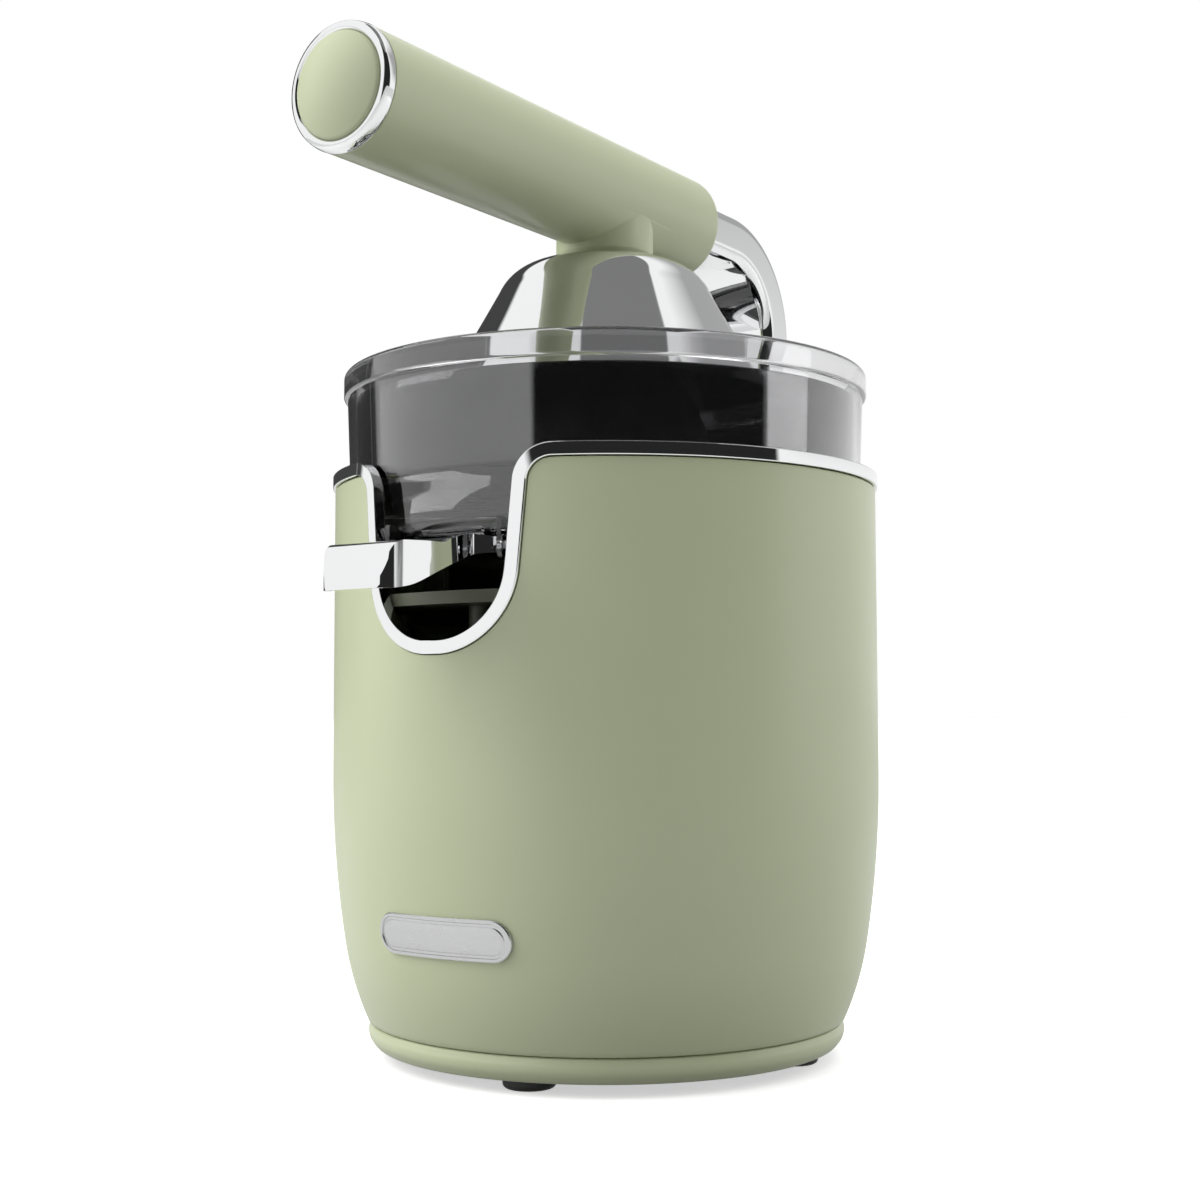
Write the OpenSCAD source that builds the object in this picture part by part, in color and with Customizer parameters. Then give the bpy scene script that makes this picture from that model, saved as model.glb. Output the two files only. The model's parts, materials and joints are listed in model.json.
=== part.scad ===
// Citrus press juicer with a lever arm, a lift-out bowl and a flip-up spout.
// The body's axis is Z, the floor is z = 0 and the front with the spout faces -Y.

/* [Body] */
// Radius of the body at its widest
body_r = 95; // [90:1:118]
// Height of the trim ring's top above the floor
body_h = 199; // [192:1:245]
// Wall of the body shell
shell_wall = 2.6; // [2:0.1:3.2]
// Height at which the body starts to draw in towards the base
waist_z = 97; // [85:1:105]
// Height at which the draw-in becomes the tighter heel curve
heel_z = 39; // [34:1:46]
// Radius of the long draw-in curve
waist_arc = 366; // [330:1:420]
// Radius of the heel curve
heel_arc = 101; // [90:1:115]

/* [Base] */
// Height of the feet
foot_h = 4; // [3:0.5:6]
// Radius of each foot
foot_r = 8.5; // [7:0.5:9]
// How far round from the front the first foot stands, in degrees
foot_turn = 13; // [5:1:20]
// Height of the base ring
base_h = 8.7; // [8:0.1:10]
// Thickness of the base plate
plate_t = 3; // [2.5:0.5:4]

/* [Trim and front cut] */
// Width of the chrome band
trim_w = 4.3; // [3:0.1:5]
// How far the band stands out of the shell
trim_proud = 0.8; // [0.4:0.1:1.2]
// Depth of the band's return into the body
trim_return = 4; // [3.6:0.1:4.2]
// Depth of the front cut below the ring's top
cut_depth = 59.6; // [55:0.1:62]
// Half of the flat at the foot of the front cut
cut_flat = 5.5; // [5:0.5:8]
// Radius of the front cut's lower corners
cut_r = 20; // [18:0.5:21]
// Slope of the front cut's sides, in degrees
cut_tilt = 5; // [3:0.5:7]
// Radius of the band's upper corners
cut_corner = 12; // [10:0.5:14]

/* [Badge] */
// Width of the blank badge
badge_w = 52; // [44:1:60]
// Height of the blank badge
badge_h = 13; // [11:0.5:15]
// Thickness of the badge
badge_t = 1.4; // [1:0.1:2]
// Height of the badge's middle above the floor
badge_z = 48; // [46:0.5:60]

/* [Bowl] */
// Gap between the bowl's wall and the body's trim
bowl_gap = 0.9; // [0.6:0.1:1.2]
// Wall of the bowl
bowl_wall = 2.3; // [2:0.1:2.8]
// Height of the bowl's rim above the trim ring
bowl_up = 36; // [32:1:42]
// Depth of the bowl's floor below the trim ring
bowl_down = 27; // [25:0.5:29]
// Height of the rim's thick band
rim_h = 9; // [7:0.5:10]
// Height of the strainer's floor above the bowl's floor
strainer_up = 22; // [20:0.5:24]
// Slots in each ring of the strainer
strainer_slots = 24; // [18:1:28]

/* [Spout] */
// How far the spout's tip stands out of the body
spout_out = 38; // [36:1:40]
// Half width of the spout's tip
tip_hw = 13; // [11:0.5:14]
// Half width of the spout where it is widest
spout_hw = 20.8; // [19:0.1:20.8]
// Wall of the spout
spout_wall = 1.8; // [1.4:0.1:2]

/* [Lever] */
// Radius of the handle
handle_r = 19.6; // [18:0.2:21]
// How far the handle reaches past the body's front
handle_reach = 41; // [36:1:50]
// How far the handle reaches behind the body's axis
handle_back = 49.3; // [44:0.5:52]
// Height of the handle's axis above the trim ring
handle_up = 102.5; // [100:0.5:125]
// Radius of the upright neck
neck_r = 17.4; // [16.5:0.1:18]
// Width of the arm
arm_w = 28; // [24:1:28]
// Thickness of the arm
arm_t = 18; // [15:0.5:19]
// Gap between the arm and the bowl's rim
arm_gap = 4.5; // [3.5:0.5:8]
// Radius of the arm's bend, at its middle line
arm_bend = 34; // [28:1:36]

/* [Rear hinge] */
// Distance of the hinge pin behind the body's wall
hinge_out = 25; // [24:0.5:28]
// Depth of the hinge pin below the trim ring
hinge_down = 23; // [22:0.5:28]
// Radius of the hinge pin
hinge_pin_r = 5; // [4:0.5:6]
// Radius of the hinge cheeks
cheek_r = 23; // [20:0.5:23]
// Thickness of each hinge cheek
cheek_t = 9; // [7:0.5:10]

/* [Press dome] */
// Radius of the dome's lower edge
dome_r = 58; // [52:1:62]
// Wall of the dome
dome_wall = 1.5; // [1.2:0.1:2]
// Height of the dome
dome_h = 50; // [46:0.5:52]
// Radius of the dome's shoulder
dome_shoulder = 37.5; // [34:0.5:40]

/* [Cones] */
// Radius of the large cone
cone_r = 38; // [34:0.5:40]
// Height of the large cone
cone_h = 49; // [44:0.5:52]
// Radius of the small cone
small_r = 25; // [22:0.5:27]
// Height of the small cone
small_h = 40; // [36:0.5:42]
// Ribs on each cone
cone_ribs = 10; // [8:1:12]
// Travel of the spindle when the fruit is pressed
press_travel = 3; // [2:0.5:3]

/* [Gears] */
// Gear module
gear_m = 1; // [0.95:0.01:1.02]
// Teeth of the output gear
teeth_out = 60; // [54:1:60]
// Teeth of the idler's small gear
teeth_idler_small = 12; // [12:1:14]
// Teeth of the idler's large gear
teeth_idler_large = 56; // [50:1:56]
// Teeth of the motor pinion
teeth_pinion = 14; // [13:1:16]
// Play between two meshed flanks
backlash = 0.2; // [0.15:0.05:0.3]
// Radius of the spindle
spindle_r = 4; // [3.5:0.1:4.2]

/* [Motor] */
// Width of the square stator
stator_w = 54; // [52:1:55]
// Height of the stator
stator_h = 32; // [26:1:34]
// Radius of the armature
armature_r = 15; // [13:0.5:15.5]
// Radius of the motor shaft
motor_shaft_r = 3; // [2.5:0.1:3.2]

/* [Clearances] */
// Radial play of a shaft in its bush
run_gap = 0.05; // [0.03:0.01:0.1]
// Gap between fixed pieces that sit against each other
seat_gap = 0.1; // [0.05:0.05:0.2]
// Gap between the shell and the trim band
trim_gap = 0.3; // [0.2:0.05:0.4]
// Air between a moving piece and its neighbours
air_gap = 0.6; // [0.4:0.1:1]

/* [Hidden] */
$fn = 96;
big = 400;

// Body outline
groove_z = foot_h + base_h;
shell_top = body_h - trim_w - trim_gap;
heel_turn = asin((waist_z - heel_z) / waist_arc);
waist_c = [body_r - waist_arc, waist_z];
heel_c = waist_c + (waist_arc - heel_arc) * [cos(heel_turn), -sin(heel_turn)];
groove_turn = asin((heel_c[1] - groove_z) / heel_arc);
groove_r = heel_c[0] + heel_arc * cos(groove_turn);
base_bulge = 10;
base_lip = 2.8;
plate_r = groove_r - 6.4;
plate_z = foot_h + 0.6;
body_inner = body_r - shell_wall;

// Front cut
cut_z = body_h - cut_depth;
cut_e = [cut_flat + cut_r * cos(cut_tilt), cut_z + cut_r - cut_r * sin(cut_tilt)];
cut_run = (body_h - cut_corner - cut_e[1] + cut_corner * sin(cut_tilt)) / cos(cut_tilt);
cut_c = cut_e + cut_run * [sin(cut_tilt), cos(cut_tilt)]
    + cut_corner * [cos(cut_tilt), -sin(cut_tilt)];

// Screws and their holes
screw_hole = 1.7;
deck_screw_r = 1.6;
screw_head_r = 3;
saddle_hole = 2;
saddle_thread = 1.95;
saddle_head = 3.6;
box_boss_r = 3.6;
box_pilot = 1.6;
box_screw_r = 1.5;
box_head_r = 2.8;
motor_hole = 2.2;
motor_bolt = 2;
motor_head = 3.8;

// Deck, bowl and strainer
deck_r = body_r - trim_return - air_gap;
deck_t = 4;
deck_z = body_h - 48;
tower_r = 11.5;
tower_bore = 10;
tower_top = body_h - 9;
seat_r = 64;
seat_t = 2.5;
bowl_z = body_h - bowl_down;
bowl_top = body_h + bowl_up;
bowl_r = body_r - trim_return - bowl_gap;
bowl_flare = 0.9;
bowl_foot = 6;
rim_r = bowl_r + 2.2;
hub_r = 16;
hub_bore = tower_r + 1;
hub_top = body_h + 1;
strainer_z = bowl_z + strainer_up;
strainer_r = bowl_r - bowl_wall - 0.6;
strainer_t = 2;
strainer_top = bowl_top - 10;
slot_w = 2.2;
slot_l = 8;
slot_ring = 32;
slot_step = 12;
collar_r = hub_r + 4;
outlet_hw = 12;
outlet_y = body_r - 13.5;
outlet_l = 9;
duct_hw = spout_hw + air_gap + 0.2;
duct_t = 1.8;
duct_y = [body_r - 17, body_r - 4];
duct_low = bowl_z - 8;
duct_h = 29;

// Spout
spout_pin_r = 1.5;
spout_pin_y = -(body_r - 9);
spout_pin_z = bowl_z - 3.4;
tip_s = body_r + spout_out;
hood_s = tip_s - 24;
outlet_seal_t = 0.8;

// Lever
handle_z = body_h + handle_up;
handle_front = body_r + handle_reach;
handle_wall = 3;
handle_ring_w = 4;
cap_r = handle_r - 3.3;
cap_bulge = 3.5;
neck_bore = 12.6;
neck_z = handle_z - 22.9;
dome_pin_z = neck_z + 8.4;
dome_pin_r = 2.5;
leg_y = rim_r + arm_gap + arm_t / 2;
tenon_w = 22;
tenon_t = 14;
tenon_l = 20;
barrel_r = 14;
arm_bush_r = 8;
hinge_y = body_r + hinge_out;
hinge_z = body_h - hinge_down;
washer_t = 0.7;
hinge_cap_r = 14;
hinge_cap_ball = 18;
cheek_in = arm_w / 2 + washer_t + 0.2;
cheek_out = cheek_in + cheek_t;
saddle_low = deck_z - 33;
saddle_t = 7;
saddle_screw_z = [deck_z - 25, deck_z - 9];
saddle_screw_x = 10;

// Press dome
dome_top = neck_z - 2;
dome_low = dome_top - dome_h;
collar_top = neck_z - 1.2;
stem_r = 8;
stem_collar_r = 13.8;
stem_flange_r = 20;

// Drive train levels, from the deck downwards
cover_t = 3;
cover_z = deck_z - 13;
gear_low_z = cover_z - 20.5;
gear_low_t = 6;
gear_high_z = cover_z - 11.5;
gear_high_t = 10;
floor_t = 3;
floor_z = gear_low_z - 5.5;
box_wall = 2.5;
idler_d = gear_m * (teeth_out + teeth_idler_small) / 2;
pinion_d = gear_m * (teeth_idler_large + teeth_pinion) / 2;
idler_turn = 90;
pinion_turn = 200;
idler_p = idler_d * [cos(idler_turn), sin(idler_turn)];
motor_p = idler_p + pinion_d * [cos(pinion_turn), sin(pinion_turn)];
motor_turn = atan2(motor_p[1], motor_p[0]);
idler_pin_r = 3;
sleeve_r = 7;
journal_r = 5.7;
bush_t = 2.6;
sleeve_low = floor_z;
sleeve_top = tower_top + 3.2;
key_w = 2;
key_l = 14;
key_z = deck_z + 6;
spindle_low = floor_z - 1.5;
spindle_top = body_h + 16;
flange_z = body_h + 2;
flange_t = 2.5;
flange_r = 7.5;
cone_z = body_h + 6;
seal_play = 0.35;
spring_low = sleeve_top + 0.1;
spring_r = 6;
spring_wire = 0.6;
spring_turns = 3;
spring_steps = spring_turns * 16;
spring_rise = flange_z - spring_low - 2 * spring_wire - 0.1;

// Switch
plunger_r = 2.5;
plunger_gap = 0.1;
plunger_l = 8;
switch_w = 20;
switch_d = 11;
switch_h = 15;
switch_top = spindle_low - press_travel - 1;

// Motor levels
motor_top = floor_z - 0.2;
bracket_t = 3.5;
stator_z = motor_top - 12 - stator_h;
bracket_low_z = stator_z - 23;
coil_over = 7;
coil_in = armature_r + 2;
coil_out = coil_in + 5.5;
commutator_r = 10;
commutator_z = stator_z - 15;
shaft_low = bracket_low_z - 14;
fan_z = bracket_low_z - 11;
fan_r = 22;
motor_bush_r = motor_shaft_r + 3;
motor_boss = 2.5;
motor_bolt_at = stator_w / 2 - 5;
commutator_h = 8;
pole_w = 16;
vent_w = 5;
vent_l = 8;
holder_w = 8;
holder_l = 14;
brush_w = 5;
brush_l = 11;

// Terminal block
terminal_size = [30, 14, 12];
terminal_at = [8, 42];
terminal_step = 10;

// Posts between the base plate and the deck
post_r = 4;
post_ring = plate_r - post_r - 1;
post_turns = [0, 65, 140, 205, 310];

// Cable gland in the rear of the shell
gland_z = 28;
gland_bore = 3.2;
gland_r = 6;
gland_flange = 8.5;
gland_out = 5;
gland_l = 16;
gland_y = groove_r + 8;

green = [0.62, 0.66, 0.52];
dark_green = [0.3, 0.33, 0.25];
chrome = [0.85, 0.86, 0.88];
steel = [0.7, 0.71, 0.73];
black = [0.1, 0.1, 0.1];
smoke = [0.25, 0.25, 0.27, 0.45];
nylon = [0.9, 0.89, 0.84];
copper = [0.72, 0.42, 0.2];

// Points on an arc about c, from angle a0 to a1
function arc(c, r, a0, a1, n) =
    [for (i = [0:n]) let (a = a0 + (a1 - a0) * i / n) c + r * [cos(a), sin(a)]];

function flip(p) = [for (q = p) [-q[0], q[1]]];

function back(p) = [for (i = [len(p) - 1:-1:0]) p[i]];

// Outline of the body's side at a depth below its surface, from the top down
function side(depth, top) = concat(
    [[body_r - depth, top]],
    arc(waist_c, waist_arc - depth, 0, -heel_turn, 8),
    arc(heel_c, heel_arc - depth, -heel_turn - 1, -groove_turn, 6));

// Half of the front cut, widened by grow, from the foot to the top
function cut_half(grow) = concat(
    arc([cut_flat, cut_z + cut_r], cut_r + grow, -90, -cut_tilt, 10),
    arc(cut_c, cut_corner - grow, 180 - cut_tilt, 90, 6),
    [[cut_c[0], body_h + 20]]);

function cut_outline(grow) = concat(cut_half(grow), back(flip(cut_half(grow))));

// Outline of a strip of width t along a path of points
function path_normal(p, i) = let (
    a = p[max(i - 1, 0)],
    b = p[min(i + 1, len(p) - 1)],
    d = (b - a) / norm(b - a)) [-d[1], d[0]];
function strip(p, t) = concat(
    [for (i = [0:len(p) - 1]) p[i] + path_normal(p, i) * t / 2],
    [for (i = [len(p) - 1:-1:0]) p[i] - path_normal(p, i) * t / 2]);

// Involute gear outline with stub teeth
gear_press = 25;
function inv(r, rb) = r <= rb ? 0 : tan(acos(rb / r)) * 180 / PI - acos(rb / r);
function gear_rp(n) = gear_m * n / 2;
function gear_rb(n) = gear_rp(n) * cos(gear_press);
function gear_tip(n) = gear_rp(n) + 0.75 * gear_m;
function gear_root(n) = gear_rp(n) - 1.05 * gear_m;
function flank(n, r) = 90 / n - backlash / 4 / gear_rp(n) * 180 / PI
    + inv(gear_rp(n), gear_rb(n)) - inv(r, gear_rb(n));
function tooth_r(n, j) = [gear_root(n), max(gear_rb(n), gear_root(n) + 0.05),
    gear_rp(n), gear_tip(n)][j];
function gear_outline(n) = [for (i = [0:n - 1]) for (k = [0:7]) let (
    j = k < 4 ? k : 7 - k,
    r = tooth_r(n, j),
    a = i * 360 / n + (k < 4 ? -1 : 1) * flank(n, r)) r * [cos(a), sin(a)]];

// A reamer's outline: u runs from 0 at the foot to 1 at the tip
function reamer(r, z, h, n) = [for (i = [0:n]) let (u = i / n)
    [max(r * (1 - pow(u, 1.7)), 0.8), z + h * u]];

// A (y, z) outline made into a solid of width w across X
module across(w) {
    rotate([90, 0, 90]) linear_extrude(w, center = true) children();
}

// An (x, z) outline pushed from the axis towards the front
module to_front(l) {
    rotate([90, 0, 0]) linear_extrude(l) children();
}

module tube(r_out, r_in, z, h) {
    translate([0, 0, z]) difference() {
        cylinder(r = r_out, h = h);
        translate([0, 0, -1]) cylinder(r = r_in, h = h + 2);
    }
}

// A rod along X through (y, z)
module rod_x(r, l, y, z) {
    translate([-l / 2, y, z]) rotate([0, 90, 0]) cylinder(r = r, h = l);
}

// A rod along Y from y0 to y1
module rod_y(r, x, y0, y1, z) {
    translate([x, y0, z]) rotate([-90, 0, 0]) cylinder(r = r, h = y1 - y0);
}

module body_shell() color(green) difference() {
    rotate_extrude() polygon(concat(side(0, shell_top), back(side(shell_wall, shell_top))));
    to_front(big) polygon(cut_outline(trim_w + trim_gap));
    for (z = saddle_screw_z, x = [-1, 1])
        rod_y(2.2, x * saddle_screw_x, body_inner - 4, body_r + 2, z);
    rod_y(gland_r + seat_gap, 0, groove_r - 10, body_r + 2, gland_z);
}

module trim_ring() color(chrome) difference() {
    intersection() {
        tube(body_r + trim_proud, body_r - trim_return, cut_z - trim_w, cut_depth + trim_w);
        union() {
            translate([-big, -big, body_h - trim_w]) cube([2 * big, 2 * big, big]);
            to_front(big) polygon(cut_outline(trim_w));
        }
    }
    to_front(big) polygon(cut_outline(0));
}

module base_ring() color(green) {
    top = [groove_r - 0.2, groove_z - 0.3];
    low = [groove_r - base_lip, foot_h];
    mid = (top + low) / 2;
    run = norm(top - low) / 2;
    swing = asin(run / base_bulge);
    tilt = atan2(top[1] - low[1], top[0] - low[0]) - 90;
    c = mid - base_bulge * cos(swing) * [cos(tilt), sin(tilt)];
    spigot_r = groove_r - shell_wall - 1.2;
    // The rounded outer face, then the spigot that stands inside the shell
    rotate_extrude() polygon(concat(
        arc(c, base_bulge, tilt - swing, tilt + swing, 8),
        [[spigot_r, groove_z - 0.3], [spigot_r, groove_z + 5],
        [plate_r + 0.3, groove_z + 5], [plate_r + 0.3, foot_h]]));
}

module base_plate() color(black) difference() {
    union() {
        translate([0, 0, plate_z]) cylinder(r = plate_r, h = plate_t);
        for (t = post_turns)
            rotate(t) translate([0, -post_ring, plate_z]) cylinder(r = post_r, h = plate_t + 4);
    }
    for (t = [0:30:359]) rotate(t + 15) translate([-1.5, 22, 0]) cube([3, 24, 20]);
    for (t = post_turns) rotate(t) translate([0, -post_ring, 0])
        cylinder(r = screw_hole, h = 20);
}

module feet() color(black) for (t = [0:90:359]) rotate(foot_turn + t)
    translate([0, -(plate_r - foot_r - 0.6), 0]) rotate_extrude()
    polygon([[0, 0], [foot_r - 1, 0], [foot_r, 1], [foot_r, plate_z], [0, plate_z]]);

module badge() color(chrome) intersection() {
    to_front(big) {
        flat_w = badge_w - badge_h;
        translate([-flat_w / 2, badge_z - badge_h / 2]) square([flat_w, badge_h]);
        for (x = [-1, 1]) translate([x * flat_w / 2, badge_z]) circle(d = badge_h);
    }
    rotate_extrude() polygon(concat(side(-badge_t, body_h / 2),
        back(side(-0.02, body_h / 2))));
}

module deck() color(dark_green) difference() {
    union() {
        translate([0, 0, deck_z]) cylinder(r = deck_r, h = deck_t);
        difference() {
            tube(seat_r, seat_r - seat_t, deck_z + deck_t - 1, bowl_z - deck_z - deck_t + 1);
            translate([-duct_hw - 4, -big, deck_z + deck_t]) cube([2 * duct_hw + 8, big, big]);
        }
        translate([0, 0, cover_z + cover_t]) cylinder(r = tower_r, h = tower_top - cover_z - cover_t);
        for (t = [45:90:359])
            rotate(t) translate([0, 26, cover_z + cover_t]) cylinder(r = 4, h = deck_z - cover_z);
    }
    translate([0, 0, cover_z]) cylinder(r = tower_bore, h = tower_top);
    for (t = post_turns) rotate(t) translate([0, -post_ring, deck_z - 1])
        cylinder(r = screw_hole, h = deck_t + 2);
}

module bowl_seal() color(black) translate([0, 0, tower_top]) rotate_extrude()
    polygon([[sleeve_r + seal_play, 2.2], [sleeve_r + seal_play, 2.8], [tower_r, 1.6],
        [tower_r, 0], [tower_bore - 1, 0], [tower_bore - 1, 1]]);

// Outline of the bowl's outer side, drawn in by depth
function bowl_side(depth) = concat(
    arc([bowl_r - bowl_foot - bowl_flare, bowl_z + bowl_foot], bowl_foot - depth, -90, 0, 6),
    [[bowl_r + bowl_flare - depth, bowl_top - rim_h]]);

module bowl() color(smoke) {
    ledge = strainer_z - 0.5;
    difference() {
        union() {
            rotate_extrude() difference() {
                polygon(concat([[hub_bore, bowl_z]], bowl_side(0),
                    [[rim_r, bowl_top - rim_h + 2], [rim_r, bowl_top - 2], [rim_r - 2, bowl_top],
                    [bowl_r - bowl_wall + bowl_flare, bowl_top],
                    [bowl_r - bowl_wall + bowl_flare, bowl_top - rim_h],
                    [bowl_r - bowl_wall, ledge],
                    [bowl_r - bowl_wall - 2.2, ledge],
                    [bowl_r - bowl_wall - 2.2, ledge - 3],
                    [bowl_r - bowl_wall - bowl_flare, ledge - 6]],
                    back(arc([bowl_r - bowl_foot - bowl_flare, bowl_z + bowl_foot],
                        bowl_foot - bowl_wall, -90, 0, 6)),
                    [[hub_r, bowl_z + bowl_wall], [hub_r, hub_top], [hub_bore, hub_top]]));
            }
            for (x = [-1, 1]) translate([x * (duct_hw + duct_t / 2) - duct_t / 2, -duct_y[1], duct_low])
                cube([duct_t, duct_y[1] - duct_y[0], duct_h]);
        }
        translate([-outlet_hw, -outlet_y - outlet_l / 2, bowl_z - 1])
            cube([2 * outlet_hw, outlet_l, bowl_wall + 2]);
        rod_x(spout_pin_r + seat_gap, big, spout_pin_y, spout_pin_z);
    }
}

module strainer() color(smoke) {
    difference() {
        rotate_extrude() polygon([[hub_r + 1.2, strainer_z], [strainer_r - 2, strainer_z],
            [strainer_r, strainer_z + 2], [strainer_r + 1, strainer_top],
            [strainer_r + 1 - strainer_t, strainer_top],
            [strainer_r - strainer_t, strainer_z + 3],
            [strainer_r - strainer_t - 1, strainer_z + strainer_t],
            [collar_r, strainer_z + strainer_t], [collar_r, hub_top],
            [hub_r + 1.2, hub_top]]);
        for (ring = [0:2]) for (i = [0:strainer_slots - 1])
            rotate((i + ring / 2) * 360 / strainer_slots)
            translate([-slot_w / 2, slot_ring + ring * slot_step, strainer_z - 1])
            cube([slot_w, slot_l, strainer_t + 2]);
    }
}

module frame_posts() color(dark_green) for (t = post_turns) rotate(t)
    translate([0, -post_ring, 0])
    tube(post_r, screw_hole, plate_z + plate_t + 4, deck_z - plate_z - plate_t - 4);

module base_screws() color(steel) for (t = post_turns) rotate(t)
    translate([0, -post_ring, plate_z]) {
    translate([0, 0, -0.5]) cylinder(r = screw_head_r, h = 0.5);
    cylinder(r = deck_screw_r, h = 22);
}

module hinge_bracket() color(chrome) difference() {
    union() {
        for (x = [-1, 1]) translate([x * (cheek_in + cheek_out) / 2, 0, 0]) across(cheek_t) {
            translate([hinge_y, hinge_z]) circle(r = cheek_r);
            polygon([[body_r - 8, hinge_z + cheek_r], [hinge_y, hinge_z + cheek_r],
                [hinge_y + cheek_r * cos(30), hinge_z - cheek_r * sin(30)],
                [body_r + saddle_t, saddle_low + 8], [body_r + 3, saddle_low],
                [body_r - 8, saddle_low]]);
        }
        translate([-cheek_in - 1, body_r - 8, saddle_low])
            cube([2 * cheek_in + 2, 8 + saddle_t, hinge_z + cheek_r - saddle_low]);
    }
    translate([0, 0, -1]) cylinder(r = body_r + trim_proud + seat_gap, h = big);
    rod_x(hinge_pin_r + seat_gap, big, hinge_y, hinge_z);
    for (z = saddle_screw_z, x = [-1, 1])
        rod_y(saddle_hole, x * saddle_screw_x, body_r - 4, body_r + saddle_t + 1, z);
}

module hinge_pin() color(steel) rod_x(hinge_pin_r, 2 * cheek_out, hinge_y, hinge_z);

module hinge_caps() color(chrome) for (x = [-1, 1])
    translate([x * cheek_out, hinge_y, hinge_z]) rotate([0, x * 90, 0]) rotate_extrude()
    polygon(concat([[0, 0]],
        arc([0, -hinge_cap_r], hinge_cap_ball, asin(hinge_cap_r / hinge_cap_ball), 90, 6)));

module bracket_screws() color(steel) for (z = saddle_screw_z, x = [-1, 1]) {
    rod_y(saddle_thread, x * saddle_screw_x, body_inner - 3, body_r + saddle_t - 1, z);
    rod_y(saddle_head, x * saddle_screw_x, body_inner - 5, body_inner - 3, z);
}

module hinge_washers() color(nylon) for (x = [-1, 1])
    translate([x * (cheek_in + arm_w / 2) / 2, 0, 0]) difference() {
    rod_x(barrel_r - 2, washer_t, hinge_y, hinge_z);
    rod_x(hinge_pin_r + seat_gap, washer_t + 2, hinge_y, hinge_z);
}

leg_foot = [hinge_y, hinge_z];
arm_path = concat(
    [[handle_back, handle_z]],
    arc([leg_y - arm_bend, handle_z - arm_bend], arm_bend, 90, 0, 14),
    [[leg_y, bowl_top + 2], [leg_y + 1, bowl_top - 12],
    [hinge_y - 4, hinge_z + 22], leg_foot]);

module arm() color(chrome) difference() {
    union() {
        across(arm_w) polygon(strip(arm_path, arm_t));
        rod_x(barrel_r, arm_w, hinge_y, hinge_z);
        translate([-tenon_w / 2, handle_back - tenon_l, handle_z - tenon_t / 2])
            cube([tenon_w, tenon_l + 6, tenon_t]);
    }
    rod_x(arm_bush_r + seat_gap, big, hinge_y, hinge_z);
}

module arm_bushes() color(nylon) for (x = [-1, 1])
    translate([x * (arm_w / 4 + 0.5), 0, 0]) difference() {
    rod_x(arm_bush_r, arm_w / 2 - 1, hinge_y, hinge_z);
    rod_x(hinge_pin_r + run_gap, arm_w, hinge_y, hinge_z);
}

module handle() color(green) difference() {
    union() {
        rod_y(handle_r, 0, -handle_front, handle_back - 3, handle_z);
        translate([0, handle_back - 3, handle_z]) rotate([-90, 0, 0]) rotate_extrude()
            polygon(concat([[0, 0]], arc([handle_r - 3, 0], 3, 0, 90, 5), [[0, 3]]));
        translate([0, 0, neck_z]) cylinder(r = neck_r, h = handle_z - neck_z);
    }
    rod_y(handle_r - handle_wall, 0, -handle_front - 1, handle_back - 6, handle_z);
    translate([0, 0, neck_z - 1]) cylinder(r = neck_bore, h = handle_z - neck_z);
    translate([-tenon_w / 2 - seat_gap, 0, handle_z - tenon_t / 2 - seat_gap])
        cube([tenon_w + 2 * seat_gap, big, tenon_t + 2 * seat_gap]);
    rod_x(dome_pin_r + seat_gap, 2 * neck_r - 3, 0, dome_pin_z);
}

module handle_ring() color(chrome) rotate([90, 0, 0]) translate([0, handle_z, handle_front])
    rotate_extrude() polygon([[cap_r + seat_gap, -6], [handle_r - handle_wall - seat_gap, -6],
        [handle_r - handle_wall - seat_gap, 0], [handle_r + 0.1, 0], [handle_r + 0.1, 2],
        [handle_r - 0.6, handle_ring_w - 0.6], [handle_r - 1.4, handle_ring_w],
        [cap_r + seat_gap, handle_ring_w]]);

module handle_cap() color(green) {
    cap_ball = (pow(cap_r, 2) + pow(cap_bulge, 2)) / (2 * cap_bulge);
    rotate([90, 0, 0]) translate([0, handle_z, handle_front + handle_ring_w])
        rotate_extrude() polygon(concat([[0, -8], [cap_r, -8]],
            arc([0, cap_bulge - cap_ball], cap_ball, 90 - asin(cap_r / cap_ball), 90, 8)));
}

module dome_pin() color(steel) rod_x(dome_pin_r, 2 * neck_r - 3.2, 0, dome_pin_z);

// Outline of the dome, drawn in by depth
function dome_side(depth) = concat(
    [[14, dome_top - depth]],
    arc([dome_shoulder - 16, dome_top - 18], 18 - depth, 84, 22, 8),
    [[dome_r * 0.785 - depth, dome_top - dome_h * 0.48],
    [dome_r * 0.9 - depth, dome_top - dome_h * 0.72],
    [dome_r - depth, dome_low + 2]]);

module press_dome() color(chrome) rotate_extrude() polygon(concat(
    dome_side(0),
    [[dome_r, dome_low], [dome_r - dome_wall, dome_low]],
    back(dome_side(dome_wall))));

module dome_stem() color(dark_green) difference() {
    union() {
        translate([0, 0, dome_top - 6]) cylinder(r = stem_collar_r, h = collar_top - dome_top + 6);
        translate([0, 0, collar_top - 1]) cylinder(r = stem_r, h = dome_pin_z + 6 - collar_top);
        translate([0, 0, dome_top - 7]) cylinder(r = stem_flange_r, h = 3);
    }
    rod_x(dome_pin_r + run_gap, big, 0, dome_pin_z);
}

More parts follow.
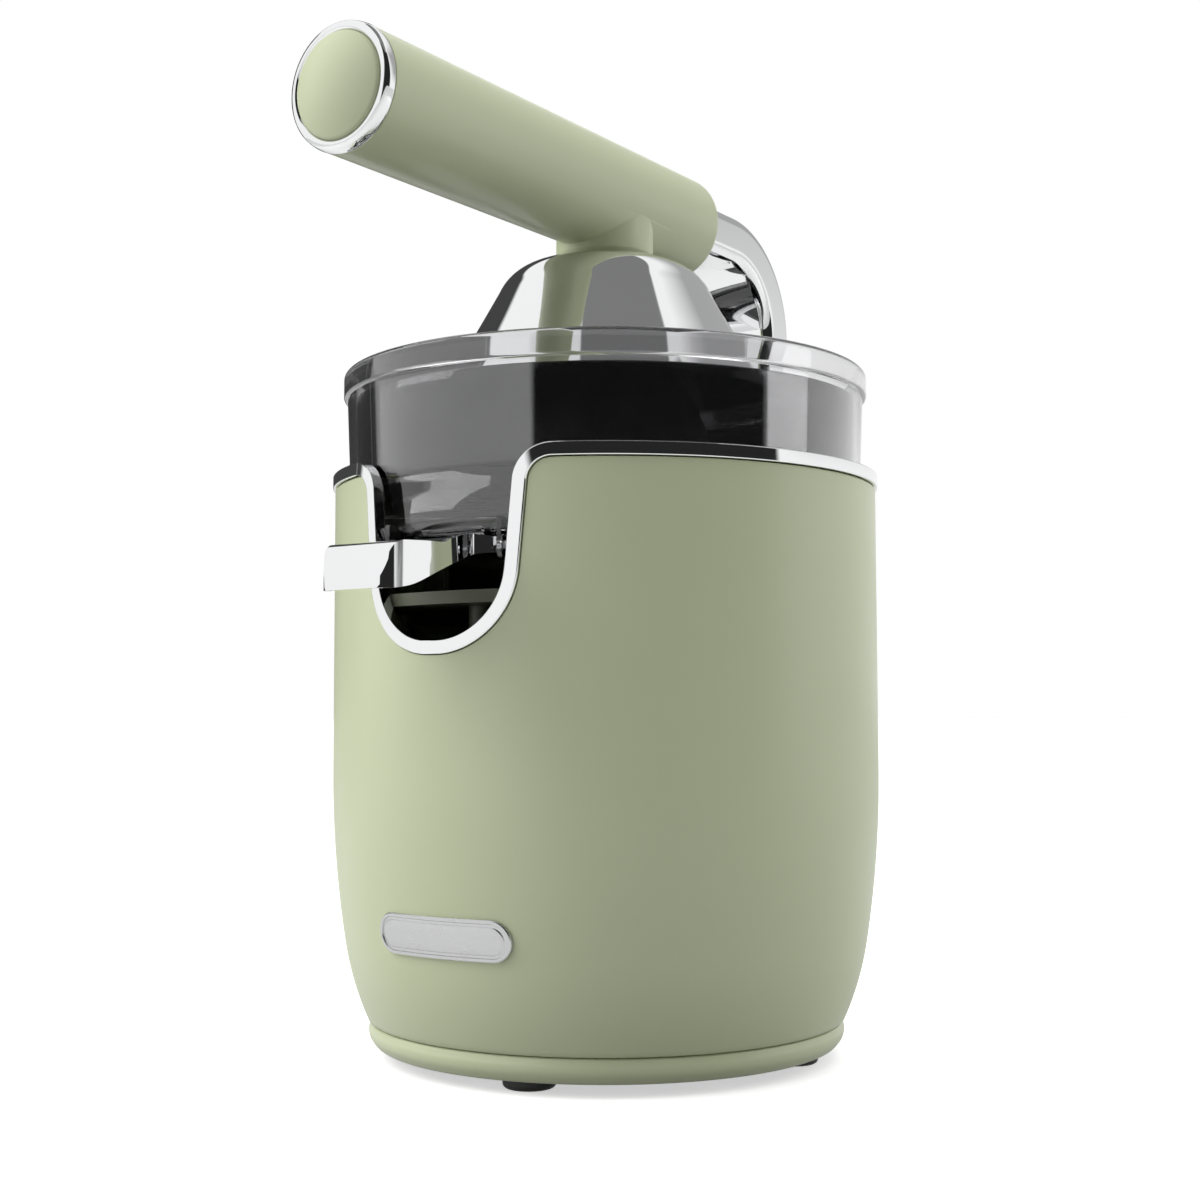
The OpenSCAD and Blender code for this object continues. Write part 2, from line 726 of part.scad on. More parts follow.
// Side outline of the spout as (distance in front of the axis, z)
spout_side = [[tip_s, bowl_z - 19], [tip_s, bowl_z - 8], [tip_s - 2.5, bowl_z - 5.2],
    [tip_s - 17, bowl_z - 4.4], [hood_s, bowl_z - 4.2], [body_r + 5, bowl_z - 0.7],
    [body_r - 2, bowl_z - 0.7], [body_r - 5, bowl_z - 1.1], [body_r - 18, bowl_z - 1.1],
    [body_r - 18, bowl_z - 3.6], [body_r - 14, bowl_z - 5.6], [body_r - 2, bowl_z - 6.3],
    [body_r + 6, bowl_z - 8.7], [body_r + 17, bowl_z - 13.1], [tip_s - 11, bowl_z - 17.4]];

// The channel's hollow behind the hood, and the hood's own hollow with its open mouth
function spout_channel(w) = [[body_r - 18 + w, bowl_z + 5], [body_r - 18 + w, bowl_z - 2.4],
    [body_r - 14, bowl_z - 5.6 + w], [body_r - 2, bowl_z - 6.3 + w],
    [body_r + 6, bowl_z - 8.7 + w], [body_r + 17, bowl_z - 13.1 + w],
    [tip_s - 15, bowl_z - 15.3 + w], [tip_s - 15, bowl_z - 4.3 - w],
    [hood_s, bowl_z - 4.2 - w], [hood_s, bowl_z + 5]];
function spout_mouth(w) = [[tip_s - 16, bowl_z - 4.4 - w], [tip_s - 2.5 - w / 2, bowl_z - 5.2 - w],
    [tip_s - w, bowl_z - 8.2], [tip_s - w, bowl_z - 25], [tip_s - 16, bowl_z - 25]];

// Plan outline of the spout, drawn in by depth
function spout_half(d) = [[tip_hw - d - 3, -tip_s + d], [tip_hw - d - 0.9, -tip_s + d + 0.9],
    [tip_hw - d, -tip_s + d + 3], [tip_hw - d + 0.6, -tip_s + 12],
    [spout_hw - d, -(body_r + 12)], [spout_hw - d, -(body_r - 11)],
    [spout_hw - d - 3.8, -(body_r - 18) - d]];
function spout_plan(d) = concat(spout_half(d), back(flip(spout_half(d))));

module spout_block(side_points, depth) {
    intersection() {
        across(2 * spout_hw + 2) polygon(flip(side_points));
        translate([0, 0, cut_z]) linear_extrude(big) polygon(spout_plan(depth));
    }
}

module spout() color(chrome) difference() {
    spout_block(spout_side, 0);
    spout_block(spout_channel(spout_wall), spout_wall);
    spout_block(spout_mouth(spout_wall), spout_wall);
    rod_x(spout_pin_r + run_gap, big, spout_pin_y, spout_pin_z);
}

module outlet_seal() color(black) translate([0, -outlet_y, bowl_z - outlet_seal_t]) difference() {
    translate([-outlet_hw - 2, -outlet_l / 2 - 1.6, 0])
        cube([2 * outlet_hw + 4, outlet_l + 3.2, outlet_seal_t]);
    translate([-outlet_hw, -outlet_l / 2, -1]) cube([2 * outlet_hw, outlet_l, 5]);
}

module spout_pins() color(steel) for (x = [-1, 1])
    translate([x * (spout_hw + duct_hw + duct_t - spout_wall) / 2, 0, 0])
    rod_x(spout_pin_r, duct_hw + duct_t - spout_hw + spout_wall, spout_pin_y, spout_pin_z);

module spindle() color(steel) {
    translate([0, 0, spindle_low]) cylinder(r = spindle_r, h = spindle_top - spindle_low);
    translate([0, 0, flange_z]) cylinder(r = flange_r, h = flange_t);
    translate([0, -key_w / 2, key_z]) cube([spindle_r + 1.6, key_w, key_l]);
    translate([-spindle_r - 1.5, -1.5, flange_z + flange_t]) cube([2 * spindle_r + 3, 3, 3.5]);
}

module reamer_solid(r, z, h, groove) {
    rotate_extrude() polygon(concat([[0, z]], reamer(r - groove, z, h - groove, 9),
        [[0, z + h - groove]]));
    for (i = [0:cone_ribs - 1]) rotate(i * 360 / cone_ribs) rotate([90, 0, 0])
        linear_extrude(1.8, center = true)
        polygon(concat([[0, z]], reamer(r, z, h, 9), [[0, z + h]]));
}

module small_cone() color(nylon) difference() {
    union() {
        reamer_solid(small_r - 2, cone_z, small_h, 3);
        translate([0, 0, cone_z]) cylinder(r = small_r, h = 2);
    }
    translate([0, 0, cone_z - 1]) cylinder(r = spindle_r + seat_gap, h = spindle_top - cone_z + 1.2);
    translate([-spindle_r - 1.6, -1.6, cone_z - 1]) cube([2 * spindle_r + 3.2, 3.2, 4]);
}

module large_cone() color(nylon) difference() {
    union() {
        reamer_solid(cone_r - 1, cone_z, cone_h, 4);
        translate([0, 0, cone_z]) cylinder(r = cone_r + 1.5, h = 2);
    }
    translate([0, 0, cone_z - 1]) cylinder(r = small_r + 0.3, h = 3.4);
    rotate_extrude() polygon(concat([[0, cone_z + 2]],
        reamer(small_r - 1.6, cone_z + 2, small_h - 1, 9), [[0, cone_z + small_h + 1]]));
}

// Six points round the spring's wire at step i
function wire_ring(i) = [for (k = [0:5]) let (
    a = i * 360 / 16,
    r = spring_r + spring_wire * cos(k * 60))
    [r * cos(a), r * sin(a), spring_low + spring_wire + spring_rise * i / spring_steps
        + spring_wire * sin(k * 60)]];

// A coil spring as one swept tube of six sides
module return_spring() color(steel) polyhedron(
    points = [for (i = [0:spring_steps]) for (p = wire_ring(i)) p],
    faces = concat(
        [[0, 1, 2, 3, 4, 5]],
        [for (i = [0:spring_steps - 1]) for (k = [0:5]) [i * 6 + k, i * 6 + 6 + k,
            i * 6 + 6 + (k + 1) % 6, i * 6 + (k + 1) % 6]],
        [[for (k = [5:-1:0]) spring_steps * 6 + k]]));

module output_gear() color(nylon) translate([0, 0, gear_high_z]) difference() {
    rotate(idler_turn) linear_extrude(gear_high_t) polygon(gear_outline(teeth_out));
    translate([0, 0, -1]) cylinder(r = sleeve_r + seat_gap, h = gear_high_t + 2);
}

module output_sleeve() color(steel) difference() {
    union() {
        translate([0, 0, sleeve_low]) cylinder(r = journal_r, h = gear_high_z - sleeve_low);
        translate([0, 0, gear_high_z]) cylinder(r = sleeve_r, h = sleeve_top - gear_high_z);
    }
    translate([0, 0, sleeve_low - 1]) cylinder(r = spindle_r + run_gap, h = big);
    translate([0, -key_w / 2 - 0.15, key_z - press_travel - 1])
        cube([spindle_r + 1.8, key_w + 0.3, key_l + press_travel + big]);
}

module sleeve_bushes() color(copper) {
    tube(sleeve_r + bush_t, sleeve_r + run_gap, tower_top - 12, 8);
    tube(sleeve_r + bush_t, sleeve_r + run_gap, cover_z, 8);
    tube(journal_r + bush_t, journal_r + run_gap, floor_z, 4.5);
}

module idler_gear() color(nylon) translate([idler_p[0], idler_p[1], 0]) difference() {
    union() {
        translate([0, 0, gear_low_z])
            rotate(pinion_turn) linear_extrude(gear_low_t) polygon(gear_outline(teeth_idler_large));
        translate([0, 0, gear_low_z + gear_low_t - 1])
            cylinder(r = gear_root(teeth_idler_small) - 0.3, h = 4.5);
        translate([0, 0, gear_high_z])
            rotate(idler_turn + 180 + 180 / teeth_idler_small) linear_extrude(gear_high_t)
            polygon(gear_outline(teeth_idler_small));
    }
    cylinder(r = idler_pin_r + run_gap, h = big);
}

module idler_pin() color(steel) translate([idler_p[0], idler_p[1], floor_z])
    cylinder(r = idler_pin_r, h = cover_z - floor_z);

// Plan of the gearbox: round its three axes, grown by w
module box_plan(w) {
    circle(r = gear_tip(teeth_out) + 1.5 + w);
    translate(idler_p) circle(r = gear_tip(teeth_idler_large) + 1.5 + w);
    translate(motor_p) circle(r = gear_tip(teeth_pinion) + 2.5 + w);
}

box_screw_turns = [20, 200, 290];

module box_screw_places() {
    for (t = box_screw_turns) rotate(t)
        translate([gear_tip(teeth_out) + 1.5 + box_wall + 2, 0, 0]) children();
    translate([idler_p[0], idler_p[1] + gear_tip(teeth_idler_large) + 3.5 + box_wall, 0]) children();
}

module gearbox_housing() color(dark_green) difference() {
    union() {
        translate([0, 0, floor_z]) linear_extrude(cover_z - floor_z) box_plan(box_wall);
        box_screw_places() translate([0, 0, floor_z]) cylinder(r = box_boss_r, h = cover_z - floor_z);
    }
    translate([0, 0, floor_z + floor_t]) linear_extrude(big) box_plan(0);
    translate([0, 0, floor_z - 1]) cylinder(r = journal_r + bush_t + seat_gap, h = 20);
    translate([idler_p[0], idler_p[1], floor_z - 1])
        cylinder(r = idler_pin_r + seat_gap, h = 20);
    translate([motor_p[0], motor_p[1], floor_z - 1]) cylinder(r = motor_shaft_r + 1.5, h = 20);
    box_screw_places() translate([0, 0, floor_z + 5]) cylinder(r = box_pilot, h = 60);
}

module gearbox_cover() color(dark_green) difference() {
    translate([0, 0, cover_z]) linear_extrude(cover_t) union() {
        box_plan(box_wall);
        box_screw_places() circle(r = box_boss_r);
    }
    translate([0, 0, cover_z - 1]) cylinder(r = sleeve_r + bush_t + seat_gap, h = 20);
    box_screw_places() translate([0, 0, cover_z - 1]) cylinder(r = screw_hole, h = 60);
}

module gearbox_screws() color(steel) box_screw_places() {
    translate([0, 0, floor_z + 8]) cylinder(r = box_screw_r, h = cover_z + cover_t - floor_z - 8);
    translate([0, 0, cover_z + cover_t]) cylinder(r = box_head_r, h = 1.8);
}

module switch_body() color(black) difference() {
    translate([-switch_w / 2, -switch_d / 2 - 2, switch_top - switch_h])
        cube([switch_w, switch_d, switch_h]);
    translate([0, 0, switch_top - plunger_l - 1]) cylinder(r = plunger_r + run_gap, h = 20);
}

module switch_plunger() color("firebrick")
    translate([0, 0, spindle_low - plunger_gap - plunger_l])
    cylinder(r = plunger_r, h = plunger_l);

module at_motor(z) {
    translate([motor_p[0], motor_p[1], z]) rotate(motor_turn) children();
}

module motor_shaft() color(steel) at_motor(shaft_low)
    cylinder(r = motor_shaft_r, h = gear_low_z + gear_low_t + 1 - shaft_low);

module motor_pinion() color(steel)
    translate([motor_p[0], motor_p[1], gear_low_z - 0.5]) difference() {
    rotate(pinion_turn + 180 + 180 / teeth_pinion) linear_extrude(gear_low_t + 1)
        polygon(gear_outline(teeth_pinion));
    translate([0, 0, -1]) cylinder(r = motor_shaft_r + seat_gap, h = 20);
}

module armature() color(copper) at_motor(stator_z) difference() {
    union() {
        cylinder(r = armature_r, h = stator_h);
        translate([0, 0, -coil_over + 1])
            cylinder(r = armature_r - 3, h = stator_h + 2 * coil_over - 2);
    }
    for (t = [0:30:359]) rotate(t) translate([armature_r - 2, -1, -1])
        cube([4, 2, stator_h + 2]);
    translate([0, 0, -20]) cylinder(r = motor_shaft_r + seat_gap, h = stator_h + 40);
}

module commutator() color(copper) at_motor(commutator_z) difference() {
    cylinder(r = commutator_r, h = commutator_h);
    for (t = [0:30:359]) rotate(t) translate([commutator_r - 1, -0.4, -1]) cube([3, 0.8, 10]);
    translate([0, 0, -1]) cylinder(r = motor_shaft_r + seat_gap, h = 10);
}

module motor_fan() color(black) at_motor(fan_z) difference() {
    union() {
        cylinder(r = 6, h = 7);
        cylinder(r = fan_r, h = 1.5);
        for (t = [0:40:359]) rotate(t) translate([5, -0.8, 0]) cube([fan_r - 6, 1.6, 6.5]);
    }
    translate([0, 0, -1]) cylinder(r = motor_shaft_r + seat_gap, h = 10);
}

module stator() color(steel) at_motor(stator_z) difference() {
    union() {
        difference() {
            translate([-stator_w / 2, -stator_w / 2, 0]) cube([stator_w, stator_w, stator_h]);
            translate([0, 0, -1]) cylinder(r = coil_out + 0.5, h = stator_h + 2);
        }
        for (t = [0, 180]) rotate(t) translate([coil_out - 9, -pole_w / 2, 0])
            cube([10, pole_w, stator_h]);
    }
    translate([0, 0, -1]) cylinder(r = armature_r + 0.7, h = stator_h + 2);
    for (x = [-1, 1], y = [-1, 1])
        translate([x * motor_bolt_at, y * motor_bolt_at, -1])
        cylinder(r = motor_hole, h = stator_h + 2);
}

module field_coils() color(copper) for (t = [90, 270]) at_motor(stator_z - coil_over) rotate(t)
    rotate_extrude(angle = 110, start = -55)
    translate([coil_in, 0]) square([coil_out - coil_in, stator_h + 2 * coil_over]);

module motor_bracket(z, up) {
    difference() {
        union() {
            at_motor(z) translate([-stator_w / 2, -stator_w / 2, 0])
                cube([stator_w, stator_w, bracket_t]);
            at_motor(up ? z - motor_boss : z)
                cylinder(r = motor_bush_r + 2.5, h = bracket_t + motor_boss);
        }
        at_motor(z - 5) cylinder(r = motor_bush_r + seat_gap, h = 20);
        for (x = [-1, 1], y = [-1, 1])
            at_motor(z - 5) translate([x * motor_bolt_at, y * motor_bolt_at, 0])
            cylinder(r = motor_hole, h = 20);
        for (t = [0:45:359]) at_motor(z - 5) rotate(t) translate([14, -vent_w / 2, 0])
            cube([vent_l, vent_w, 20]);
    }
}

module motor_top_bracket() color(steel) motor_bracket(motor_top - bracket_t, true);

module motor_low_bracket() color(steel) motor_bracket(bracket_low_z, false);

module motor_bushes() color(copper) {
    for (z = [motor_top - bracket_t - motor_boss, bracket_low_z])
        at_motor(0) tube(motor_bush_r, motor_shaft_r + run_gap, z, bracket_t + motor_boss);
}

module motor_pillars() color(steel) for (x = [-1, 1], y = [-1, 1])
    at_motor(0) translate([x * motor_bolt_at, y * motor_bolt_at, 0]) {
    translate([0, 0, bracket_low_z - 2.5])
        cylinder(r = motor_bolt, h = motor_top - bracket_low_z + 2.5);
    translate([0, 0, bracket_low_z - 2.5]) cylinder(r = motor_head, h = 2.4);
    tube(motor_head, motor_bolt + 0.05, bracket_low_z + bracket_t + 0.05,
        stator_z - bracket_low_z - bracket_t - 0.1);
    tube(motor_head, motor_bolt + 0.05, stator_z + stator_h + 0.05,
        motor_top - bracket_t - stator_z - stator_h - 0.1);
}

module brush_holders() color(black) for (t = [0, 180]) at_motor(commutator_z + 0.5) rotate(t)
    difference() {
    translate([commutator_r + 1.5, -holder_w / 2, -1]) cube([holder_l, holder_w, holder_w + 1]);
    translate([commutator_r, -brush_w / 2 - 0.1, 0.9])
        cube([holder_l, brush_w + 0.2, brush_w + 0.2]);
}

module brushes() color(black) for (t = [0, 180]) at_motor(commutator_z + 0.5) rotate(t)
    translate([commutator_r + 0.3, -brush_w / 2, 1]) cube([brush_l, brush_w, brush_w]);

module terminal_block() color(nylon) difference() {
    translate([terminal_at[0], terminal_at[1], plate_z + plate_t]) cube(terminal_size);
    for (i = [0:2]) translate([terminal_at[0] + terminal_step * (i + 0.5),
        terminal_at[1] + terminal_size[1] / 2, plate_z + plate_t + 5]) cylinder(r = 2.4, h = 20);
}

module cable_gland() color(black) difference() {
    union() {
        rod_y(gland_r, 0, gland_y - gland_l, gland_y, gland_z);
        rod_y(gland_flange, 0, gland_y, gland_y + gland_out - 1.5, gland_z);
        translate([0, gland_y + gland_out - 1.5, gland_z]) rotate([-90, 0, 0])
            cylinder(r1 = gland_flange, r2 = gland_flange - 1.5, h = 1.5);
        rod_y(gland_flange, 0, gland_y - gland_l, gland_y - gland_l + 3, gland_z);
    }
    rod_y(gland_bore, 0, gland_y - big / 4, gland_y + big / 4, gland_z);
}

body_shell();
trim_ring();
base_ring();
base_plate();
feet();
badge();
deck();
bowl_seal();
bowl();
strainer();
frame_posts();
base_screws();
hinge_bracket();
hinge_pin();
hinge_caps();
bracket_screws();
hinge_washers();
arm();
arm_bushes();
handle();
handle_ring();
handle_cap();
dome_pin();
press_dome();
dome_stem();
spout();
outlet_seal();
spout_pins();
spindle();
small_cone();
large_cone();
return_spring();
output_gear();
output_sleeve();
sleeve_bushes();
idler_gear();
idler_pin();
gearbox_housing();
gearbox_cover();
gearbox_screws();
switch_body();
switch_plunger();
motor_shaft();
motor_pinion();
armature();
commutator();
motor_fan();
stator();
field_coils();
motor_top_bracket();
motor_low_bracket();
motor_bushes();
motor_pillars();
brush_holders();
brushes();
terminal_block();
cable_gland();
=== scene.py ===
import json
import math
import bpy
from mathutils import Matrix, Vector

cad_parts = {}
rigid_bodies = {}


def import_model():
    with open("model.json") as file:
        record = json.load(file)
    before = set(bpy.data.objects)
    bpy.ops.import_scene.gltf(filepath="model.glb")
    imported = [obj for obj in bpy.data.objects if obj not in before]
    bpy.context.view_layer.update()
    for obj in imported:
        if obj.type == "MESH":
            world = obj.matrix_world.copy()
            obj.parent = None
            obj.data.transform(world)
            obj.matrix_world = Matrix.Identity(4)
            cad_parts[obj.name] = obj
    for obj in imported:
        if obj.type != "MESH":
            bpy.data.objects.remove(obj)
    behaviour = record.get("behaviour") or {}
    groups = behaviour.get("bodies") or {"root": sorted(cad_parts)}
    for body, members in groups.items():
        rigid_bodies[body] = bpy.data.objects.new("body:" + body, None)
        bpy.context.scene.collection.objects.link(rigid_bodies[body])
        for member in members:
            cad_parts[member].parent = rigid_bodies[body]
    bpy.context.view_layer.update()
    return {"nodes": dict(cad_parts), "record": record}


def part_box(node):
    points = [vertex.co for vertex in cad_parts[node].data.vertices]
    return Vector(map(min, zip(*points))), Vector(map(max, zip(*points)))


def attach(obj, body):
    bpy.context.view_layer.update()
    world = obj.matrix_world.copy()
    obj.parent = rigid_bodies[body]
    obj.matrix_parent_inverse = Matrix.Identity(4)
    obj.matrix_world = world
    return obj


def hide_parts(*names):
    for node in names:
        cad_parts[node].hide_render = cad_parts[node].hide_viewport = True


bl_info = {
    "name": "Lever citrus press",
    "version": (1, 0, 0),
    "blender": (4, 5, 0),
    "location": "3D View > Sidebar > Citrus Press",
    "description": "Models and finishes a lever citrus press around its packed frame",
    "category": "Add Mesh",
}

import bpy
from bpy.props import FloatProperty, FloatVectorProperty, IntProperty, PointerProperty
from mathutils import Matrix, Vector

for leftover in list(bpy.data.objects):
    bpy.data.objects.remove(leftover)
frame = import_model()

MM = 0.001


def node_box(node):
    """Lowest and highest corners of a frame node, in millimetres."""
    low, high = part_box(node)
    return low / MM, high / MM


shell_low, shell_high = node_box("body_shell")
trim_low, trim_high = node_box("trim_ring")
bowl_low, bowl_high = node_box("bowl")
basket_low, basket_high = node_box("strainer")
dome_low, dome_high = node_box("press_dome")
handle_low, handle_high = node_box("handle")
arm_low, arm_high = node_box("arm")
spout_low, spout_high = node_box("spout")
bracket_low, bracket_high = node_box("hinge_bracket")
pin_low, pin_high = node_box("hinge_pin")
hub_low, hub_high = node_box("bowl_seal")

BODY_R = shell_high.x
RING_TOP = trim_high.z
GROOVE_Z = shell_low.z
BOWL_FLOOR = node_box("outlet_seal")[1].z
HANDLE_Z = node_box("handle_ring")[1].z / 2 + node_box("handle_ring")[0].z / 2
HINGE_Y = (pin_low.y + pin_high.y) / 2
HINGE_Z = (pin_low.z + pin_high.z) / 2
HUB_BORE = 12.5
HUB_TOP = basket_high.z if basket_high.z < RING_TOP + 2 else RING_TOP + 1
LEG_Y = bowl_high.x + 4.5 + 9
FOOT_TURN = 13
FOOT_RADIUS = 8.5
GLAND_R = 6.6
GLAND_Z = 28
CHEEK_T = 1.8
CHEEK_X = 22.5
SPOUT_PIN = (-(BODY_R - 9), BOWL_FLOOR - 3.4, 1.55)
SCREW_HEIGHTS = (126, 142)

CAMERA_LENS = 52.263
CAMERA_AWAY = 0.61685
CAMERA_SIDE = 0.59644
CAMERA_RISE = 0.11609
CAMERA_PITCH = 0.06617
CAMERA_YAW = 0.00314
CAMERA_ROLL = 0.00209


# ------------------------------------------------------------------ settings


def length(name, description, default):
    return FloatProperty(name=name, description=description, default=default * MM, unit="LENGTH")


def colour(name, description, default):
    return FloatVectorProperty(
        name=name, description=description, default=default, subtype="COLOR", size=3, min=0, max=1
    )


class PressBodySizes(bpy.types.PropertyGroup):
    waist: length("Waist height", "Height where the body starts to draw in", 97)
    heel: length("Heel height", "Height where the tighter heel curve starts", 39)
    waist_arc: length("Waist curve", "Radius of the long draw-in curve", 366)
    heel_arc: length("Heel curve", "Radius of the heel curve", 101)
    wall: length("Shell wall", "Wall of the painted shell", 2.6)
    trim: length("Trim width", "Width of the polished band", 4.3)
    cut_flat: length("Cut flat", "Half of the flat at the foot of the front cut", 1.8)
    cut_radius: length("Cut corner", "Radius of the front cut's lower corners", 23.7)
    cut_shoulder: length("Cut shoulder", "Radius where the band turns from cut to ring", 12)
    cut_tilt: FloatProperty(
        name="Cut tilt",
        description="Lean of the front cut's sides",
        default=math.radians(5),
        subtype="ANGLE",
    )
    badge_width: length("Badge width", "Width of the blank badge", 52)
    badge_height: length("Badge height", "Height of the blank badge", 13)
    badge_z: length("Badge place", "Height of the badge's middle", 48)


class PressTopSizes(bpy.types.PropertyGroup):
    bowl_wall: length("Bowl wall", "Wall of the smoked bowl", 2.3)
    rim: length("Bowl rim", "Height of the bowl's thick rim", 9)
    basket_wall: length("Basket wall", "Wall of the strainer basket", 2)
    basket_slots: IntProperty(
        name="Basket slots", description="Slots in each ring of the basket", default=24
    )
    dome_wall: length("Dome wall", "Wall of the press dome", 1.5)
    neck_radius: length("Neck radius", "Radius of the neck under the handle", 17.4)
    arm_bend: length("Arm bend", "Radius of the arm's bend", 34)
    arm_edge: length("Arm edge", "Rounding along the arm's edges", 4.6)
    cone_ribs: IntProperty(name="Cone ribs", description="Ribs round each cone", default=10)
    spout_wall: length("Spout wall", "Wall of the spout", 1.8)


class PressColours(bpy.types.PropertyGroup):
    sage: colour("Sage paint", "Body, base ring and handle", (0.61, 0.665, 0.44))
    # The olive is the sage paint darkened: a dark moulding, with the shade of the recess under the bowl
    # painted into it on the deck.
    olive: colour("Olive moulding and painted shade", "Deck, posts and gearbox", (0.1, 0.108, 0.072))
    smoke: colour("Smoked clear", "Tint of the bowl", (0.8, 0.8, 0.81))
    dark_smoke: colour("Dark smoke", "Tint of the strainer basket", (0.05, 0.05, 0.052))
    chrome: colour("Chrome", "Polished pieces", (0.9, 0.905, 0.91))
    silver: colour("Badge silver", "Brushed badge", (0.66, 0.66, 0.67))
    steel: colour("Steel", "Shafts, screws and brackets", (0.5, 0.5, 0.52))
    nylon: colour("Nylon", "Cones and gears", (0.78, 0.77, 0.72))
    rubber: colour("Rubber", "Feet, seals and gland", (0.018, 0.018, 0.018))
    black: colour("Black moulding", "Base plate, fan and switch", (0.028, 0.028, 0.03))
    bronze: colour("Bronze", "Sintered bushes", (0.5, 0.33, 0.14))
    copper: colour("Copper", "Windings and commutator", (0.62, 0.25, 0.1))
    button: colour("Switch button", "The switch's plunger", (0.4, 0.02, 0.015))


# ------------------------------------------------------------------ outlines


def arc(centre, radius, start, end, steps):
    """Points on an arc, with its angles in degrees."""
    turns = [math.radians(start + (end - start) * i / steps) for i in range(steps + 1)]
    return [(centre[0] + radius * math.cos(t), centre[1] + radius * math.sin(t)) for t in turns]


def flowing(points, steps):
    """A smooth run of points through the ones given."""
    ends = [points[0], *points, points[-1]]
    run = []
    for a, b, c, d in zip(ends, ends[1:], ends[2:], ends[3:]):
        a, b, c, d = Vector(a), Vector(b), Vector(c), Vector(d)
        for i in range(steps):
            t = i / steps
            bend = (2 * a - 5 * b + 4 * c - d) * t * t + (3 * b - a - 3 * c + d) * t**3
            run.append(tuple(b + ((c - a) * t + bend) / 2))
    return run + [tuple(points[-1])]


def between(a, b, steps):
    """Evenly spaced points on a straight line, without its ends."""
    a, b = Vector(a), Vector(b)
    return [tuple(a.lerp(b, i / steps)) for i in range(1, steps)]


def mirrored(points):
    """The points on the other side of the middle, in reverse order."""
    return [(-p[0], p[1]) for p in reversed(points)]


def body_curves():
    """Centres of the body's two side curves, and the angles where they end."""
    s = bpy.context.scene.press_body
    waist_arc, heel_arc = s.waist_arc / MM, s.heel_arc / MM
    waist, heel = s.waist / MM, s.heel / MM
    turn = math.asin((waist - heel) / waist_arc)
    waist_centre = (BODY_R - waist_arc, waist)
    heel_centre = (
        waist_centre[0] + (waist_arc - heel_arc) * math.cos(turn),
        waist_centre[1] - (waist_arc - heel_arc) * math.sin(turn),
    )
    return waist_centre, heel_centre, turn


def body_radius(z):
    """Radius of the body's outer side at a height."""
    s = bpy.context.scene.press_body
    waist_centre, heel_centre, _ = body_curves()
    if z >= s.waist / MM:
        return BODY_R
    if z >= s.heel / MM:
        return waist_centre[0] + math.sqrt((s.waist_arc / MM) ** 2 - (z - waist_centre[1]) ** 2)
    return heel_centre[0] + math.sqrt((s.heel_arc / MM) ** 2 - (z - heel_centre[1]) ** 2)


def body_side(depth, top, low):
    """The body's side from the top down, drawn in by a depth."""
    s = bpy.context.scene.press_body
    waist_centre, heel_centre, turn = body_curves()
    turn = math.degrees(turn)
    last = math.degrees(math.asin((heel_centre[1] - low) / (s.heel_arc / MM)))
    straight = [(BODY_R - depth, top), *between((BODY_R - depth, top), waist_centre, 1)]
    waist = arc(waist_centre, s.waist_arc / MM - depth, 0, -turn, 22)
    heel = arc(heel_centre, s.heel_arc / MM - depth, -turn - 0.6, -last, 18)
    return straight + waist + heel


def cut_half(grow):
    """Half of the front cut's outline, widened by grow, from its foot to the ring."""
    s = bpy.context.scene.press_body
    flat, radius, shoulder = s.cut_flat / MM, s.cut_radius / MM, s.cut_shoulder / MM
    tilt = s.cut_tilt
    foot = trim_low.z + s.trim / MM
    low_centre = (flat, foot + radius)
    edge = (flat + radius * math.cos(tilt), foot + radius - radius * math.sin(tilt))
    run = (RING_TOP - shoulder - edge[1] + shoulder * math.sin(tilt)) / math.cos(tilt)
    top_centre = (
        edge[0] + run * math.sin(tilt) + shoulder * math.cos(tilt),
        edge[1] + run * math.cos(tilt) - shoulder * math.sin(tilt),
    )
    lean = math.degrees(tilt)
    low_arc = arc(low_centre, radius + grow, -90, -lean, 28)
    top_arc = arc(top_centre, shoulder - grow, 180 - lean, 90, 16)
    return low_arc + between(low_arc[-1], top_arc[0], 10) + top_arc


def dome_side(depth):
    """The press dome's side, drawn in by a depth, from the collar to the lower edge."""
    top, low, r = dome_high.z, dome_low.z, dome_high.x
    shoulder = arc((r - 36.5, top - 18), 18 - depth, 84, 24, 14)
    skirt = flowing(
        [
            shoulder[-2],
            shoulder[-1],
            (r - 12.3 - depth, top - 24.5),
            (r - 5.7 - depth, top - 36),
            (r - 1.6 - depth, low + 5),
            (r - depth, low + 0.5),
        ],
        6,
    )
    return [(12, top - depth), (r - 38, top - depth - 0.02), *shoulder, *skirt[7:]]


def spout_plan(depth, tip):
    """The spout's outline from above, drawn in by a depth."""
    half_tip, half = 13, spout_high.x
    corner = arc((half_tip - 5, -tip + 5.6), 5.5 - depth, -84, -14, 10)
    side = flowing(
        [
            corner[-1],
            (half_tip + 2.6 - depth, -tip + 14),
            (half_tip + 3.3 - depth, -(BODY_R + 9)),
            (half_tip + 3.4 - depth, -(BODY_R + 2)),
            (half - depth - 2.4, -(BODY_R - 3)),
            (half - depth, -(BODY_R - 7)),
            (half - depth, -(BODY_R - 11)),
        ],
        5,
    )
    run = corner + side[1:] + [(half - depth - 3.8, -(BODY_R - 18) - depth)]
    return run + mirrored(run)


# ------------------------------------------------------------------ modelling


def deselect():
    if bpy.context.object and bpy.context.object.mode != "OBJECT":
        bpy.ops.object.mode_set(mode="OBJECT")
    bpy.ops.object.select_all(action="DESELECT")


def activate(piece):
    deselect()
    piece.select_set(True)
    bpy.context.view_layer.objects.active = piece


def edit(piece):
    activate(piece)
    bpy.ops.object.mode_set(mode="EDIT")


